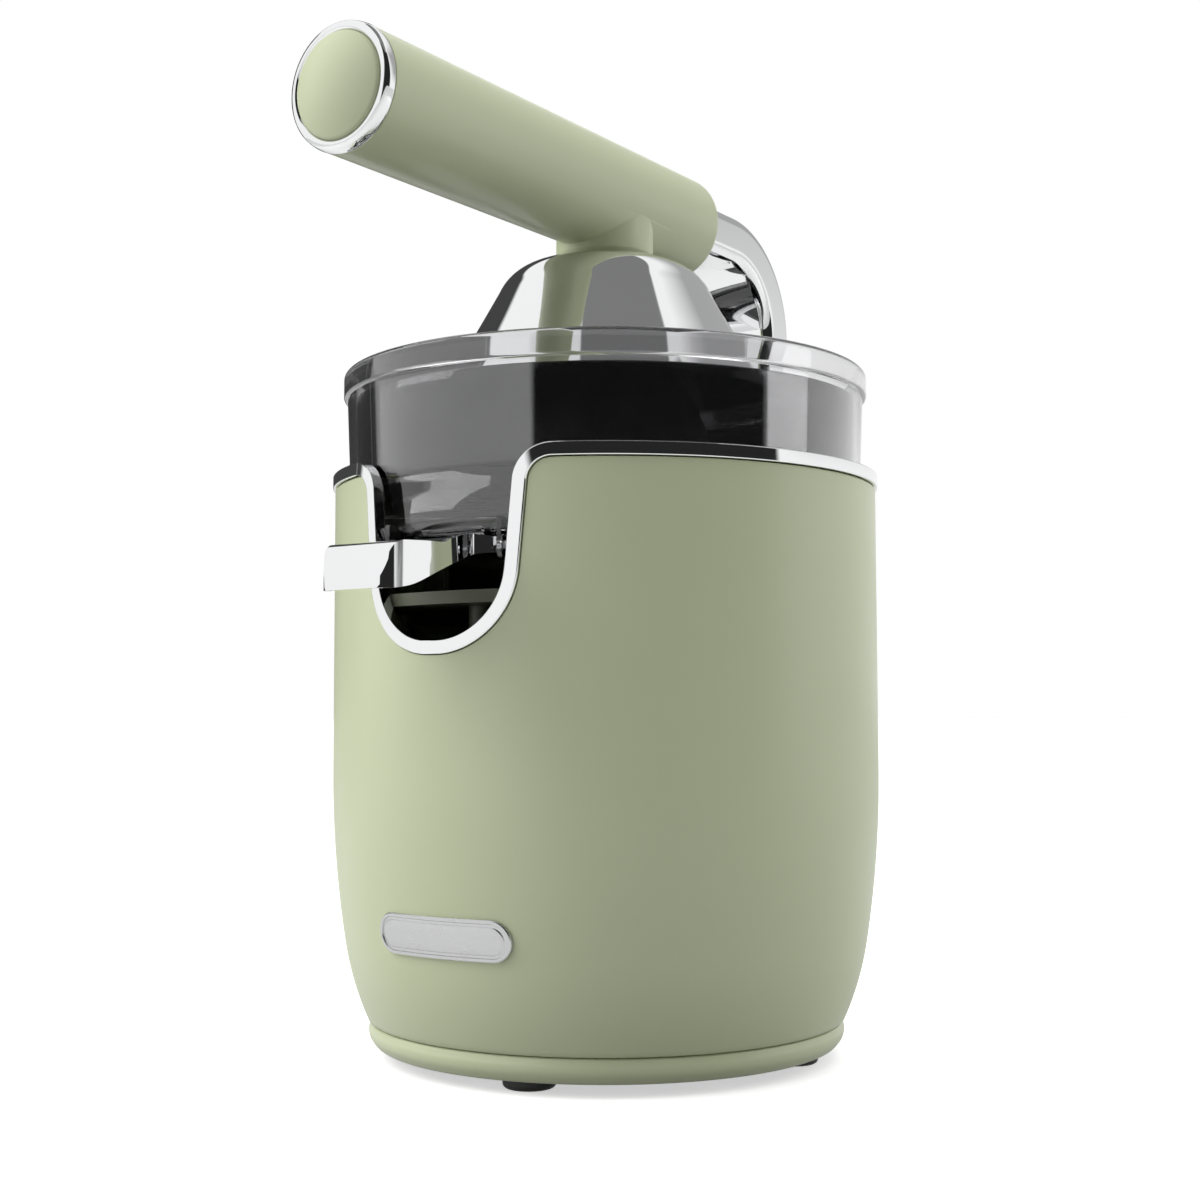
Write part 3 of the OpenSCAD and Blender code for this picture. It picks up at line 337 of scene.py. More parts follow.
def draw(name, points):
    """A chain of edges through points in millimetres, extruded from one vertex."""
    deselect()
    places = [Vector(p) * MM for p in points]
    bpy.ops.mesh.primitive_plane_add(size=MM, location=places[0])
    piece = bpy.context.object
    piece.name = piece.data.name = name
    bpy.ops.object.mode_set(mode="EDIT")
    bpy.ops.mesh.select_mode(type="VERT")
    bpy.ops.mesh.merge(type="CENTER")
    for here, there in zip(places, places[1:]):
        bpy.ops.mesh.extrude_region_move(TRANSFORM_OT_translate={"value": there - here})
    bpy.ops.object.mode_set(mode="OBJECT")
    bpy.ops.object.transform_apply(location=True, rotation=True, scale=True)
    return piece


def tidy(piece, distance=0.002):
    """Merges doubles and turns the faces outwards."""
    edit(piece)
    bpy.ops.mesh.select_mode(type="VERT")
    bpy.ops.mesh.select_all(action="SELECT")
    bpy.ops.mesh.remove_doubles(threshold=distance * MM)
    bpy.ops.mesh.delete_loose()
    bpy.ops.mesh.select_all(action="SELECT")
    bpy.ops.mesh.normals_make_consistent(inside=False)
    bpy.ops.object.mode_set(mode="OBJECT")
    return piece


UP = ((1, 0, 0), (0, 0, 1))
FORWARD = ((1, 0, 0), (0, -1, 0))
BACKWARD = ((1, 0, 0), (0, 1, 0))
SIDEWAYS = ((0, 1, 0), (1, 0, 0))


def lathe(name, profile, steps=192, centre=(0, 0, 0), way=UP):
    """Spins a (radius, height) profile round an axis; one that starts on the axis ends on it."""
    out, along = Vector(way[0]), Vector(way[1])
    centre = Vector(centre)
    close = [profile[0]] if profile[0][0] > 0 else []
    points = [centre + out * r + along * h for r, h in [*profile, *close]]
    piece = draw(name, points)
    edit(piece)
    bpy.ops.mesh.select_all(action="SELECT")
    bpy.ops.mesh.spin(steps=steps, angle=2 * math.pi, center=centre * MM, axis=along)
    return tidy(piece)


PLANES = {
    "front": (lambda a, b, c: (a, c, b), Vector((0, 1, 0))),
    "side": (lambda a, b, c: (c, a, b), Vector((1, 0, 0))),
    "plan": (lambda a, b, c: (a, b, c), Vector((0, 0, 1))),
}


def pick_faces(piece, rule):
    """Selects, in edit mode, the faces whose centre and normal fit a rule."""
    activate(piece)
    for part in (piece.data.vertices, piece.data.edges, piece.data.polygons):
        part.foreach_set("select", [False] * len(part))
    for face in piece.data.polygons:
        face.select = bool(rule(face.center / MM, face.normal))
    bpy.ops.object.mode_set(mode="EDIT")
    bpy.ops.mesh.select_mode(type="FACE")


def slab(name, outline, plane, start, depth, steps=()):
    """Fills an outline in a plane, extrudes it and insets its far face in steps."""
    place, way = PLANES[plane]
    piece = draw(name, [place(a, b, start) for a, b in [*outline, outline[0]]])
    edit(piece)
    bpy.ops.mesh.select_mode(type="VERT")
    bpy.ops.mesh.select_all(action="SELECT")
    bpy.ops.mesh.remove_doubles(threshold=0.002 * MM)
    bpy.ops.mesh.edge_face_add()
    bpy.ops.mesh.extrude_region_move(TRANSFORM_OT_translate={"value": way * depth * MM})
    tidy(piece)
    if steps:
        far = way * (start + depth)
        out = way * math.copysign(1, depth)
        pick_faces(piece, lambda c, n: n.dot(out) > 0.9 and abs((c - far).dot(out)) < 0.01)
        for inwards, rise in steps:
            bpy.ops.mesh.inset(thickness=inwards * MM, depth=rise * MM)
        bpy.ops.object.mode_set(mode="OBJECT")
    return piece


def apply_modifier(piece, modifier):
    activate(piece)
    bpy.ops.object.modifier_apply(modifier=modifier.name)


def combine(piece, tool, operation="DIFFERENCE"):
    """Cuts or joins with another solid, which is used up."""
    step = piece.modifiers.new("combine", "BOOLEAN")
    step.operation = operation
    step.object = tool
    step.solver = "EXACT"
    apply_modifier(piece, step)
    bpy.data.objects.remove(tool)
    return piece


def round_edges(piece, width, segments=3, angle=35):
    """Rounds every edge that is sharper than an angle."""
    step = piece.modifiers.new("round", "BEVEL")
    step.width = width * MM
    step.segments = segments
    step.limit_method = "ANGLE"
    step.angle_limit = math.radians(angle)
    step.use_clamp_overlap = True
    step.harden_normals = True
    step.miter_outer = "MITER_ARC"
    apply_modifier(piece, step)
    return piece


def smooth(piece, angle=40):
    activate(piece)
    bpy.ops.object.shade_smooth_by_angle(angle=math.radians(angle))
    return piece


def even_shading(piece):
    """Keeps broad faces flat beside their rounded edges."""
    step = piece.modifiers.new("shading", "WEIGHTED_NORMAL")
    step.keep_sharp = True
    step.weight = 60
    apply_modifier(piece, step)
    return piece


def move_points(piece, rule):
    """Moves every vertex by a rule, which takes and gives millimetres."""
    for vertex in piece.data.vertices:
        vertex.co = Vector(rule(*(vertex.co / MM))) * MM
    piece.data.update()
    return piece


def copied(piece, name, turn):
    """A copy with its own mesh, turned about the body's axis."""
    other = piece.copy()
    other.data = piece.data.copy()
    other.name = other.data.name = name
    bpy.context.collection.objects.link(other)
    other.data.transform(Matrix.Rotation(math.radians(turn), 4, "Z"))
    return other


def fitted(piece, body, slot, finish, *nodes):
    """Gives a piece its finish and its place in the frame."""
    piece.data.materials.clear()
    piece.data.materials.append(finish)
    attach(piece, body)
    if nodes:
        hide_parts(*nodes)
    return piece


# ------------------------------------------------------------------ finishes


def new_group(name, inputs, outputs):
    group = bpy.data.node_groups.new(name, "ShaderNodeTree")
    for label, kind, default in inputs:
        socket = group.interface.new_socket(label, in_out="INPUT", socket_type=kind)
        if default is not None:
            socket.default_value = default
    for label, kind in outputs:
        group.interface.new_socket(label, in_out="OUTPUT", socket_type=kind)
    return group, group.nodes.new("NodeGroupInput"), group.nodes.new("NodeGroupOutput")


def noise(tree, vector, scale, detail=3.0):
    node = tree.nodes.new("ShaderNodeTexNoise")
    node.inputs["Detail"].default_value = detail
    tree.links.new(vector, node.inputs["Vector"])
    if isinstance(scale, (int, float)):
        node.inputs["Scale"].default_value = scale
    else:
        tree.links.new(scale, node.inputs["Scale"])
    return node.outputs["Fac"]


def spread(tree, value, low, high, out_low, out_high):
    """Maps a value from one range to another; the ends are numbers or sockets."""
    node = tree.nodes.new("ShaderNodeMapRange")
    tree.links.new(value, node.inputs["Value"])
    ends = {"From Min": low, "From Max": high, "To Min": out_low, "To Max": out_high}
    for label, end in ends.items():
        if isinstance(end, (int, float)):
            node.inputs[label].default_value = end
        else:
            tree.links.new(end, node.inputs[label])
    return node.outputs["Result"]


def tone_group():
    """Slow patches of lighter and darker colour."""
    group, given, result = new_group(
        "Tone patches",
        [
            ("Vector", "NodeSocketVector", None),
            ("Light", "NodeSocketColor", (0.8, 0.8, 0.8, 1)),
            ("Dark", "NodeSocketColor", (0.7, 0.7, 0.7, 1)),
            ("Scale", "NodeSocketFloat", 20.0),
        ],
        [("Color", "NodeSocketColor")],
    )
    cloud = noise(group, given.outputs["Vector"], given.outputs["Scale"])
    mix = group.nodes.new("ShaderNodeMix")
    mix.data_type = "RGBA"
    group.links.new(spread(group, cloud, 0.3, 0.7, 0.0, 1.0), mix.inputs["Factor"])
    group.links.new(given.outputs["Dark"], mix.inputs[6])
    group.links.new(given.outputs["Light"], mix.inputs[7])
    group.links.new(mix.outputs[2], result.inputs["Color"])
    return group


def smudge_group():
    """Uneven gloss, as handling and cleaning leave it."""
    group, given, result = new_group(
        "Handling smudges",
        [
            ("Vector", "NodeSocketVector", None),
            ("Scale", "NodeSocketFloat", 30.0),
            ("Low", "NodeSocketFloat", 0.1),
            ("High", "NodeSocketFloat", 0.2),
        ],
        [("Roughness", "NodeSocketFloat")],
    )
    cloud = noise(group, given.outputs["Vector"], given.outputs["Scale"], 5.0)
    value = spread(group, cloud, 0.35, 0.7, given.outputs["Low"], given.outputs["High"])
    group.links.new(value, result.inputs["Roughness"])
    return group


def grain_group():
    """A fine surface grain with a slower ripple under it."""
    group, given, result = new_group(
        "Surface grain",
        [
            ("Vector", "NodeSocketVector", None),
            ("Fine", "NodeSocketFloat", 1500.0),
            ("Slow", "NodeSocketFloat", 60.0),
            ("Ripple", "NodeSocketFloat", 0.3),
        ],
        [("Height", "NodeSocketFloat")],
    )
    fine = noise(group, given.outputs["Vector"], given.outputs["Fine"], 2.0)
    slow = noise(group, given.outputs["Vector"], given.outputs["Slow"], 1.0)
    mix = group.nodes.new("ShaderNodeMix")
    group.links.new(given.outputs["Ripple"], mix.inputs["Factor"])
    group.links.new(fine, mix.inputs["A"])
    group.links.new(slow, mix.inputs["B"])
    group.links.new(mix.outputs["Result"], result.inputs["Height"])
    return group


def strand_group():
    """Fine parallel lines, as in brushed metal, wound wire or stacked sheet."""
    group, given, result = new_group(
        "Parallel strands",
        [
            ("Vector", "NodeSocketVector", None),
            ("Stretch", "NodeSocketVector", (1, 1, 1)),
            ("Scale", "NodeSocketFloat", 1000.0),
        ],
        [("Mask", "NodeSocketFloat")],
    )
    stretch = group.nodes.new("ShaderNodeVectorMath")
    stretch.operation = "MULTIPLY"
    group.links.new(given.outputs["Vector"], stretch.inputs[0])
    group.links.new(given.outputs["Stretch"], stretch.inputs[1])
    lines = noise(group, stretch.outputs["Vector"], given.outputs["Scale"], 2.0)
    group.links.new(spread(group, lines, 0.35, 0.65, 0.0, 1.0), result.inputs["Mask"])
    return group


def shared(name, maker):
    return bpy.data.node_groups.get(name) or maker()


def placed(tree, group, vector, **values):
    """A shared effect in a material, with its own values."""
    node = tree.nodes.new("ShaderNodeGroup")
    node.node_tree = group
    tree.links.new(vector, node.inputs["Vector"])
    for label, value in values.items():
        node.inputs[label].default_value = value
    return node.outputs[0]


def rgba(tint, factor=1.0):
    return (*[min(1.0, c * factor) for c in tint], 1.0)


def finish(name, tint, gloss, patches=(25.0, 0.94), grain=(1500.0, 60.0, 0.3), bump=0.05, **plain):
    """A material with uneven tone, gloss and grain; plain holds even socket values."""
    known = bpy.data.materials.get(name)
    if known:
        return known
    material = bpy.data.materials.new(name)
    material.use_nodes = True
    tree = material.node_tree
    shader = tree.nodes["Principled BSDF"]
    place = tree.nodes.new("ShaderNodeTexCoord").outputs["Object"]
    tone = placed(
        tree,
        shared("Tone patches", tone_group),
        place,
        Light=rgba(tint),
        Dark=rgba(tint, patches[1]),
        Scale=patches[0],
    )
    tree.links.new(tone, shader.inputs["Base Color"])
    smudge = placed(
        tree,
        shared("Handling smudges", smudge_group),
        place,
        Scale=patches[0] * 1.7,
        Low=gloss[0],
        High=gloss[1],
    )
    tree.links.new(smudge, shader.inputs["Roughness"])
    height = placed(
        tree,
        shared("Surface grain", grain_group),
        place,
        Fine=grain[0],
        Slow=grain[1],
        Ripple=grain[2],
    )
    relief = tree.nodes.new("ShaderNodeBump")
    relief.inputs["Strength"].default_value = bump
    relief.inputs["Distance"].default_value = 0.0004
    tree.links.new(height, relief.inputs["Height"])
    tree.links.new(relief.outputs["Normal"], shader.inputs["Normal"])
    for label, value in plain.items():
        shader.inputs[label.replace("_", " ")].default_value = value
    return material


def strands(material, tint, dark, stretch, scale, bump=0.3):
    """Lays fine lines over a finish, in its colour and its relief."""
    tree = material.node_tree
    if tree.nodes.get("Lines"):
        return material
    shader = tree.nodes["Principled BSDF"]
    place = tree.nodes.new("ShaderNodeTexCoord").outputs["Object"]
    lines = placed(
        tree, shared("Parallel strands", strand_group), place, Stretch=stretch, Scale=scale
    )
    mix = tree.nodes.new("ShaderNodeMix")
    mix.name = "Lines"
    mix.data_type = "RGBA"
    mix.inputs[6].default_value = rgba(tint, dark)
    mix.inputs[7].default_value = rgba(tint)
    tree.links.new(lines, mix.inputs["Factor"])
    tree.links.new(mix.outputs[2], shader.inputs["Base Color"])
    relief = tree.nodes.new("ShaderNodeBump")
    relief.inputs["Strength"].default_value = bump
    relief.inputs["Distance"].default_value = 0.0002
    tree.links.new(lines, relief.inputs["Height"])
    tree.links.new(relief.outputs["Normal"], shader.inputs["Normal"])
    return material


def colours():
    return bpy.context.scene.press_colours


def sage_paint():
    return finish(
        "Sage paint",
        colours().sage,
        (0.3, 0.38),
        patches=(14.0, 0.97),
        grain=(1400.0, 260.0, 0.45),
        bump=0.035,
        Coat_Weight=0.12,
        Coat_Roughness=0.22,
        Specular_IOR_Level=0.42,
    )


def mirror_chrome():
    return finish(
        "Mirror chrome",
        colours().chrome,
        (0.02, 0.055),
        patches=(35.0, 0.985),
        grain=(700.0, 40.0, 0.6),
        bump=0.006,
        Metallic=1.0,
    )


def smoked_clear():
    return finish(
        "Smoked clear",
        colours().smoke,
        (0.012, 0.04),
        patches=(30.0, 0.92),
        grain=(500.0, 35.0, 0.7),
        bump=0.01,
        Transmission_Weight=1.0,
        IOR=1.5,
        Coat_Weight=0.6,
        Coat_IOR=1.7,
    )


def dark_smoke():
    return finish(
        "Dark smoke",
        colours().dark_smoke,
        (0.015, 0.05),
        patches=(30.0, 0.85),
        grain=(500.0, 35.0, 0.7),
        bump=0.01,
        Transmission_Weight=1.0,
        IOR=1.5,
        Coat_Weight=0.6,
        Coat_IOR=1.7,
    )


# Dark moulding with painted shade: the sage hue darkened, for the deck in the shaded recess under the bowl and
# the other inner pieces.
def olive_moulding_and_painted_shade():
    return finish(
        "Olive moulding and painted shade",
        colours().olive,
        (0.32, 0.45),
        patches=(40.0, 0.85),
        grain=(1600.0, 90.0, 0.2),
        bump=0.12,
    )


def black_moulding():
    return finish(
        "Black moulding", colours().black, (0.35, 0.5), patches=(45.0, 0.8), bump=0.15
    )


def black_rubber():
    return finish(
        "Black rubber",
        colours().rubber,
        (0.25, 0.42),
        patches=(60.0, 0.7),
        grain=(2200.0, 150.0, 0.3),
        bump=0.12,
    )


def white_nylon():
    return finish(
        "White nylon",
        colours().nylon,
        (0.22, 0.34),
        patches=(50.0, 0.96),
        bump=0.05,
        Subsurface_Weight=0.08,
        Subsurface_Scale=0.002,
    )


def machined_steel():
    made = finish(
        "Machined steel", colours().steel, (0.22, 0.34), patches=(60.0, 0.9), Metallic=1.0
    )
    return strands(made, colours().steel, 0.86, (1, 1, 14), 900.0, 0.12)


def badge_silver():
    made = finish(
        "Brushed silver", colours().silver, (0.2, 0.3), patches=(60.0, 0.96), Metallic=1.0
    )
    return strands(made, colours().silver, 0.9, (1, 1, 22), 700.0, 0.1)


def sintered_bronze():
    return finish(
        "Sintered bronze",
        colours().bronze,
        (0.35, 0.5),
        patches=(90.0, 0.75),
        grain=(2600.0, 400.0, 0.4),
        bump=0.2,
        Metallic=1.0,
    )


def copper_winding():
    made = finish(
        "Copper winding", colours().copper, (0.25, 0.35), patches=(70.0, 0.85), Metallic=1.0
    )
    return strands(made, colours().copper, 0.45, (9, 9, 1), 260.0, 0.6)


def stacked_sheet():
    made = finish(
        "Stacked sheet", colours().steel, (0.35, 0.5), patches=(60.0, 0.85), Metallic=1.0
    )
    return strands(made, colours().steel, 0.55, (0.5, 0.5, 10), 260.0, 0.5)


def carbon_brush():
    return finish(
        "Carbon", colours().black, (0.4, 0.6), patches=(120.0, 0.6), bump=0.3, Metallic=0.3
    )


def switch_button():
    return finish("Red button", colours().button, (0.3, 0.42), patches=(80.0, 0.85), bump=0.1)


SLOT_FINISHES = {
    "green_paint": sage_paint,
    "chrome": mirror_chrome,
    "badge_silver": badge_silver,
    "dark_plastic": olive_moulding_and_painted_shade,
    "smoked_plastic": smoked_clear,
    "black_rubber": black_rubber,
    "black_plastic": black_moulding,
    "white_nylon": white_nylon,
    "steel": machined_steel,
    "bronze": sintered_bronze,
    "copper": copper_winding,
    "carbon": carbon_brush,
    "red_plastic": switch_button,
}
NODE_FINISHES = {"stator": stacked_sheet, "feet": black_rubber}


# ------------------------------------------------------------------ pieces


class PressShell(bpy.types.Operator):
    """Painted body shell with its front cut"""

    bl_idname = "mesh.press_shell"
    bl_label = "Painted shell"

    def execute(self, context):
        s = context.scene.press_body
        wall, low, top = s.wall / MM, shell_low.z, shell_high.z
        outer = body_side(0, top - 0.6, low + 0.5)
        inner = body_side(wall, top, low)
        rim = [(BODY_R - 0.6, top)]
        foot = [(outer[-1][0] - 0.6, low)]
        shell = lathe("painted_shell", [*rim, *outer, *foot, *reversed(inner)], 288)
        half = cut_half(s.trim / MM + 0.3) + [(cut_half(s.trim / MM + 0.3)[-1][0], RING_TOP + 20)]
        tool = slab("shell_cut", half + mirrored(half), "front", -2 * BODY_R, 2 * BODY_R)
        combine(shell, tool)
        hole = [(0, 60), (GLAND_R, 60), (GLAND_R, 110), (0, 110)]
        combine(shell, lathe("gland_cut", hole, 64, (0, 0, GLAND_Z), BACKWARD))
        smooth(shell, 30)
        fitted(shell, "housing", "green_paint", sage_paint(), "body_shell")
        return {"FINISHED"}


class PressTrim(bpy.types.Operator):
    """Polished band round the top of the body and down round the front cut"""

    bl_idname = "mesh.press_trim"
    bl_label = "Polished band"

    def execute(self, context):
        s = context.scene.press_body
        width = s.trim / MM
        outer_r = trim_high.x
        depth = outer_r - (BODY_R - 4)
        end = math.pi * BODY_R
        rows = []
        for grow in (0, width):
            side = [(BODY_R * math.asin(x / BODY_R), z) for x, z in cut_half(grow)]
            ring = between(side[-1], (end, side[-1][1]), 180)
            half = side + ring + [(end, side[-1][1])]
            rows.append(mirrored(half)[:-1] + between(mirrored(half)[-1], half[0], 4) + half)
        band = draw("trim_band", [(x, 0, z) for x, z in rows[0]])
        other = draw("trim_edge", [(x, 0, z) for x, z in rows[1]])
        activate(band)
        other.select_set(True)
        bpy.ops.object.join()
        edit(band)
        bpy.ops.mesh.select_all(action="SELECT")
        bpy.ops.mesh.bridge_edge_loops()
        bpy.ops.mesh.select_all(action="SELECT")
        bpy.ops.mesh.extrude_region_move(
            TRANSFORM_OT_translate={"value": Vector((0, depth, 0)) * MM}
        )
        tidy(band)
        pick_faces(band, lambda c, n: abs(c.x) > end - 0.01)
        bpy.ops.mesh.delete(type="FACE")
        bpy.ops.object.mode_set(mode="OBJECT")
        round_edges(band, 0.35, 3, 50)
        start, finish_turn = math.radians(26), math.radians(40)

        def wrap(x, y, z):
            turn = x / BODY_R
            r = outer_r - y
            ease = min(1, max(0, (abs(turn) - start) / (finish_turn - start)))
            if ease < 1:
                turn = ease * turn + (1 - ease) * math.asin(BODY_R * math.sin(turn) / r)
            return r * math.sin(turn), -r * math.cos(turn), z

        move_points(band, wrap)
        tidy(band)
        even_shading(smooth(band, 60))
        fitted(band, "housing", "chrome", mirror_chrome(), "trim_ring")
        return {"FINISHED"}


class PressBase(bpy.types.Operator):
    """Painted base ring and the rubber feet under it"""

    bl_idname = "mesh.press_base"
    bl_label = "Base ring and feet"

    def execute(self, context):
        low, high = node_box("base_ring")
        plate = node_box("base_plate")[1].x
        r_low, r_top, top = high.x - 1.9, high.x - 0.35, shell_low.z - 0.3
        bulge = flowing(
            [
                (r_low - 1.4, low.z),
                (r_low - 0.2, low.z + 0.8),
                (high.x - 0.5, low.z + 3),
                (high.x, low.z + 5.2),
                (high.x - 0.25, top - 1.6),
                (r_top - 0.3, top - 0.35),
                (r_top - 1.3, top),
            ],
            6,
        )
        inner = [
            ((body_radius(shell_low.z) - 3.8), top),
            ((body_radius(shell_low.z) - 3.8), high.z),
            (plate + 0.3, high.z),
            (plate + 0.3, low.z),
        ]
        ring = smooth(lathe("base_band", bulge + inner, 288), 35)
        fitted(ring, "housing", "green_paint", sage_paint(), "base_ring")
        foot_low, foot_high = node_box("feet")
        turn = math.radians(FOOT_TURN)
        radius = FOOT_RADIUS
        ring_r = (foot_high.x - radius) / math.cos(turn)
        side = [(0, 0), (radius - 1.6, 0)] + arc((radius - 1.6, 1.6), 1.6, -90, 0, 8)[1:]
        side += [(radius, foot_high.z), (0, foot_high.z)]
        place = (ring_r * math.sin(turn), -ring_r * math.cos(turn), 0)
        first = smooth(lathe("rubber_foot_1", side, 72, place), 35)
        feet = [first] + [copied(first, "rubber_foot_%d" % (i + 1), 90 * i) for i in (1, 2, 3)]
        for foot in feet:
            fitted(foot, "housing", "black_rubber", black_rubber(), "feet")
        return {"FINISHED"}


class PressBadge(bpy.types.Operator):
    """Blank brushed badge on the body's front"""

    bl_idname = "mesh.press_badge"
    bl_label = "Blank badge"

    def execute(self, context):
        s = context.scene.press_body
        low, high = node_box("badge")
        r = s.badge_height / MM / 2
        half = s.badge_width / MM / 2 - r
        z = s.badge_z / MM
        outline = arc((half, z), r, -90, 90, 28)
        outline += mirrored(outline)
        steps = [(0.3, 0.3), (0.8, 0), (0.25, -0.4), (0.75, 0), (0.25, 0.22), (0.2, 0.05)]
        badge = slab("blank_badge", outline, "front", 0, -1.05, steps)
        for axis, places in (((1, 0, 0), range(-25, 26)), ((0, 0, 1), range(-6, 7, 2))):
            for place in places:
                edit(badge)
                bpy.ops.mesh.select_all(action="SELECT")
                spot = Vector((0, 0, z)) + Vector(axis) * place
                bpy.ops.mesh.bisect(plane_co=spot * MM, plane_no=axis)
        tidy(badge)

        def wrap(x, y, z):
            r = body_radius(z) + 0.02 - y
            return x, -math.sqrt(r * r - x * x), z

        move_points(badge, wrap)
        smooth(badge, 28)
        fitted(badge, "housing", "chrome", badge_silver(), "badge")
        return {"FINISHED"}


class PressBowl(bpy.types.Operator):
    """Smoked bowl with its outlet and the cheeks that hold the spout"""

    bl_idname = "mesh.press_bowl"
    bl_label = "Smoked bowl"

    def execute(self, context):
        s = context.scene.press_top
        wall, rim = s.bowl_wall / MM, s.rim / MM
        rim_r, top, floor = bowl_high.x, bowl_high.z, BOWL_FLOOR
        side_r = rim_r - 2.2
        flare, foot = 0.9, 6
        hub_in, hub_out, hub_top = HUB_BORE, HUB_BORE + 3.5, HUB_TOP
        ledge = basket_low.z - 0.5
        foot_c = (side_r - foot - flare, floor + foot)
        outer = [(hub_in, floor)] + arc(foot_c, foot, -90, 0, 14)
        outer += between(outer[-1], (side_r + flare, top - rim), 12) + [(side_r + flare, top - rim)]
        outer += arc((rim_r - 1, top - rim + 1.2), 1, -80, 0, 6)
        outer += arc((rim_r - 1.9, top - 1.9), 1.9, 0, 90, 9)
        lip = arc((side_r - wall + flare + 0.8, top - 0.8), 0.8, 90, 180, 5)
        inner = [
            (side_r - wall + flare, top - rim),
            (side_r - wall, ledge),
            (side_r - wall - 2.2, ledge),
            (side_r - wall - 2.2, ledge - 3),
            (side_r - wall - flare, ledge - 6),
        ]
        inner += list(reversed(arc(foot_c, foot - wall, -90, 0, 10)))
        inner += [(hub_out + 1.5, floor + wall), (hub_out + 0.4, floor + wall + 0.4)]
        inner += [(hub_out, floor + wall + 1.5), (hub_out, hub_top - 0.6)]
        inner += [(hub_out - 0.6, hub_top), (hub_in, hub_top)]
        bowl = lathe("smoked_bowl", outer + lip + inner, 256)
        far, near = -(BODY_R - 4), -(BODY_R - 17)
        duct = [(far, floor - 6), (far, floor + 5), (near, floor + 5), (near, floor - 8)]
        duct += [(far + 2, floor - 8), (far + 0.6, floor - 7.4)]
        for side in (-1, 1):
            cheek = slab("cheek", duct, "side", CHEEK_X * side - CHEEK_T / 2, CHEEK_T)
            combine(bowl, cheek, "UNION")
        hw, y0, y1 = 12, -(BODY_R - 9), -(BODY_R - 18)
        hole = [(-hw, y0), (hw, y0), (hw, y1), (-hw, y1)]
        combine(bowl, slab("outlet", hole, "plan", floor - 1, wall + 2))
        pin_y, pin_z, pin_r = SPOUT_PIN
        bore = lathe("pin_bore", [(0, -60), (pin_r + 0.1, -60), (pin_r + 0.1, 60), (0, 60)], 32,
                     (0, pin_y, pin_z), SIDEWAYS)
        combine(bowl, bore)
        smooth(bowl, 32)
        fitted(bowl, "housing", "smoked_plastic", smoked_clear(), "bowl")
        return {"FINISHED"}


class PressBasket(bpy.types.Operator):
    """Slotted strainer basket inside the bowl"""

    bl_idname = "mesh.press_basket"
    bl_label = "Strainer basket"

    def execute(self, context):
        s = context.scene.press_top
        t = s.basket_wall / MM
        r, low, top = basket_high.x - 1, basket_low.z, basket_high.z
        hub = HUB_BORE + 4.7
        collar, hub_top = HUB_BORE + 7.5, HUB_TOP
        outer = [(hub, low)] + arc((r - 2, low + 2), 2, -90, 0, 6)
        outer += between(outer[-1], (r + 1, top), 8)
        outer += arc((r + 0.4, top - 0.6), 0.6, 0, 90, 3)
        inner = arc((r + 1.6 - t, top - 0.6), 0.6, 90, 180, 3)
        inner += [(r - t, low + 4)]
        inner += [(x, z) for x, z in reversed(arc((r - t - 2, low + t + 2), 2, -90, 0, 5))]
        inner += [(collar + 1, low + t), (collar, low + t + 1), (collar, hub_top - 0.6)]
        inner += [(collar - 0.6, hub_top), (hub, hub_top)]
        basket = lathe("slotted_basket", outer + inner, 192)
        count = s.basket_slots
        slots = None
        for ring in range(3):
            y = 33.1 + 12 * ring
            outline = arc((0, y + 5.8), 1.1, 0, 180, 8) + arc((0, y), 1.1, 180, 360, 8)
            first = slab("slot", outline, "plan", low - 1, t + 2)
            row = [first] + [
                copied(first, "slot_%d" % i, i * 360 / count) for i in range(1, count)
            ]
            for slot in row:
                slot.data.transform(Matrix.Rotation(math.radians(180 * ring / count), 4, "Z"))
            activate(first)
            for slot in row:
                slot.select_set(True)
            bpy.ops.object.join()
            combine(basket, first)
        smooth(basket, 32)
        fitted(basket, "housing", "smoked_plastic", dark_smoke(), "strainer")
        return {"FINISHED"}


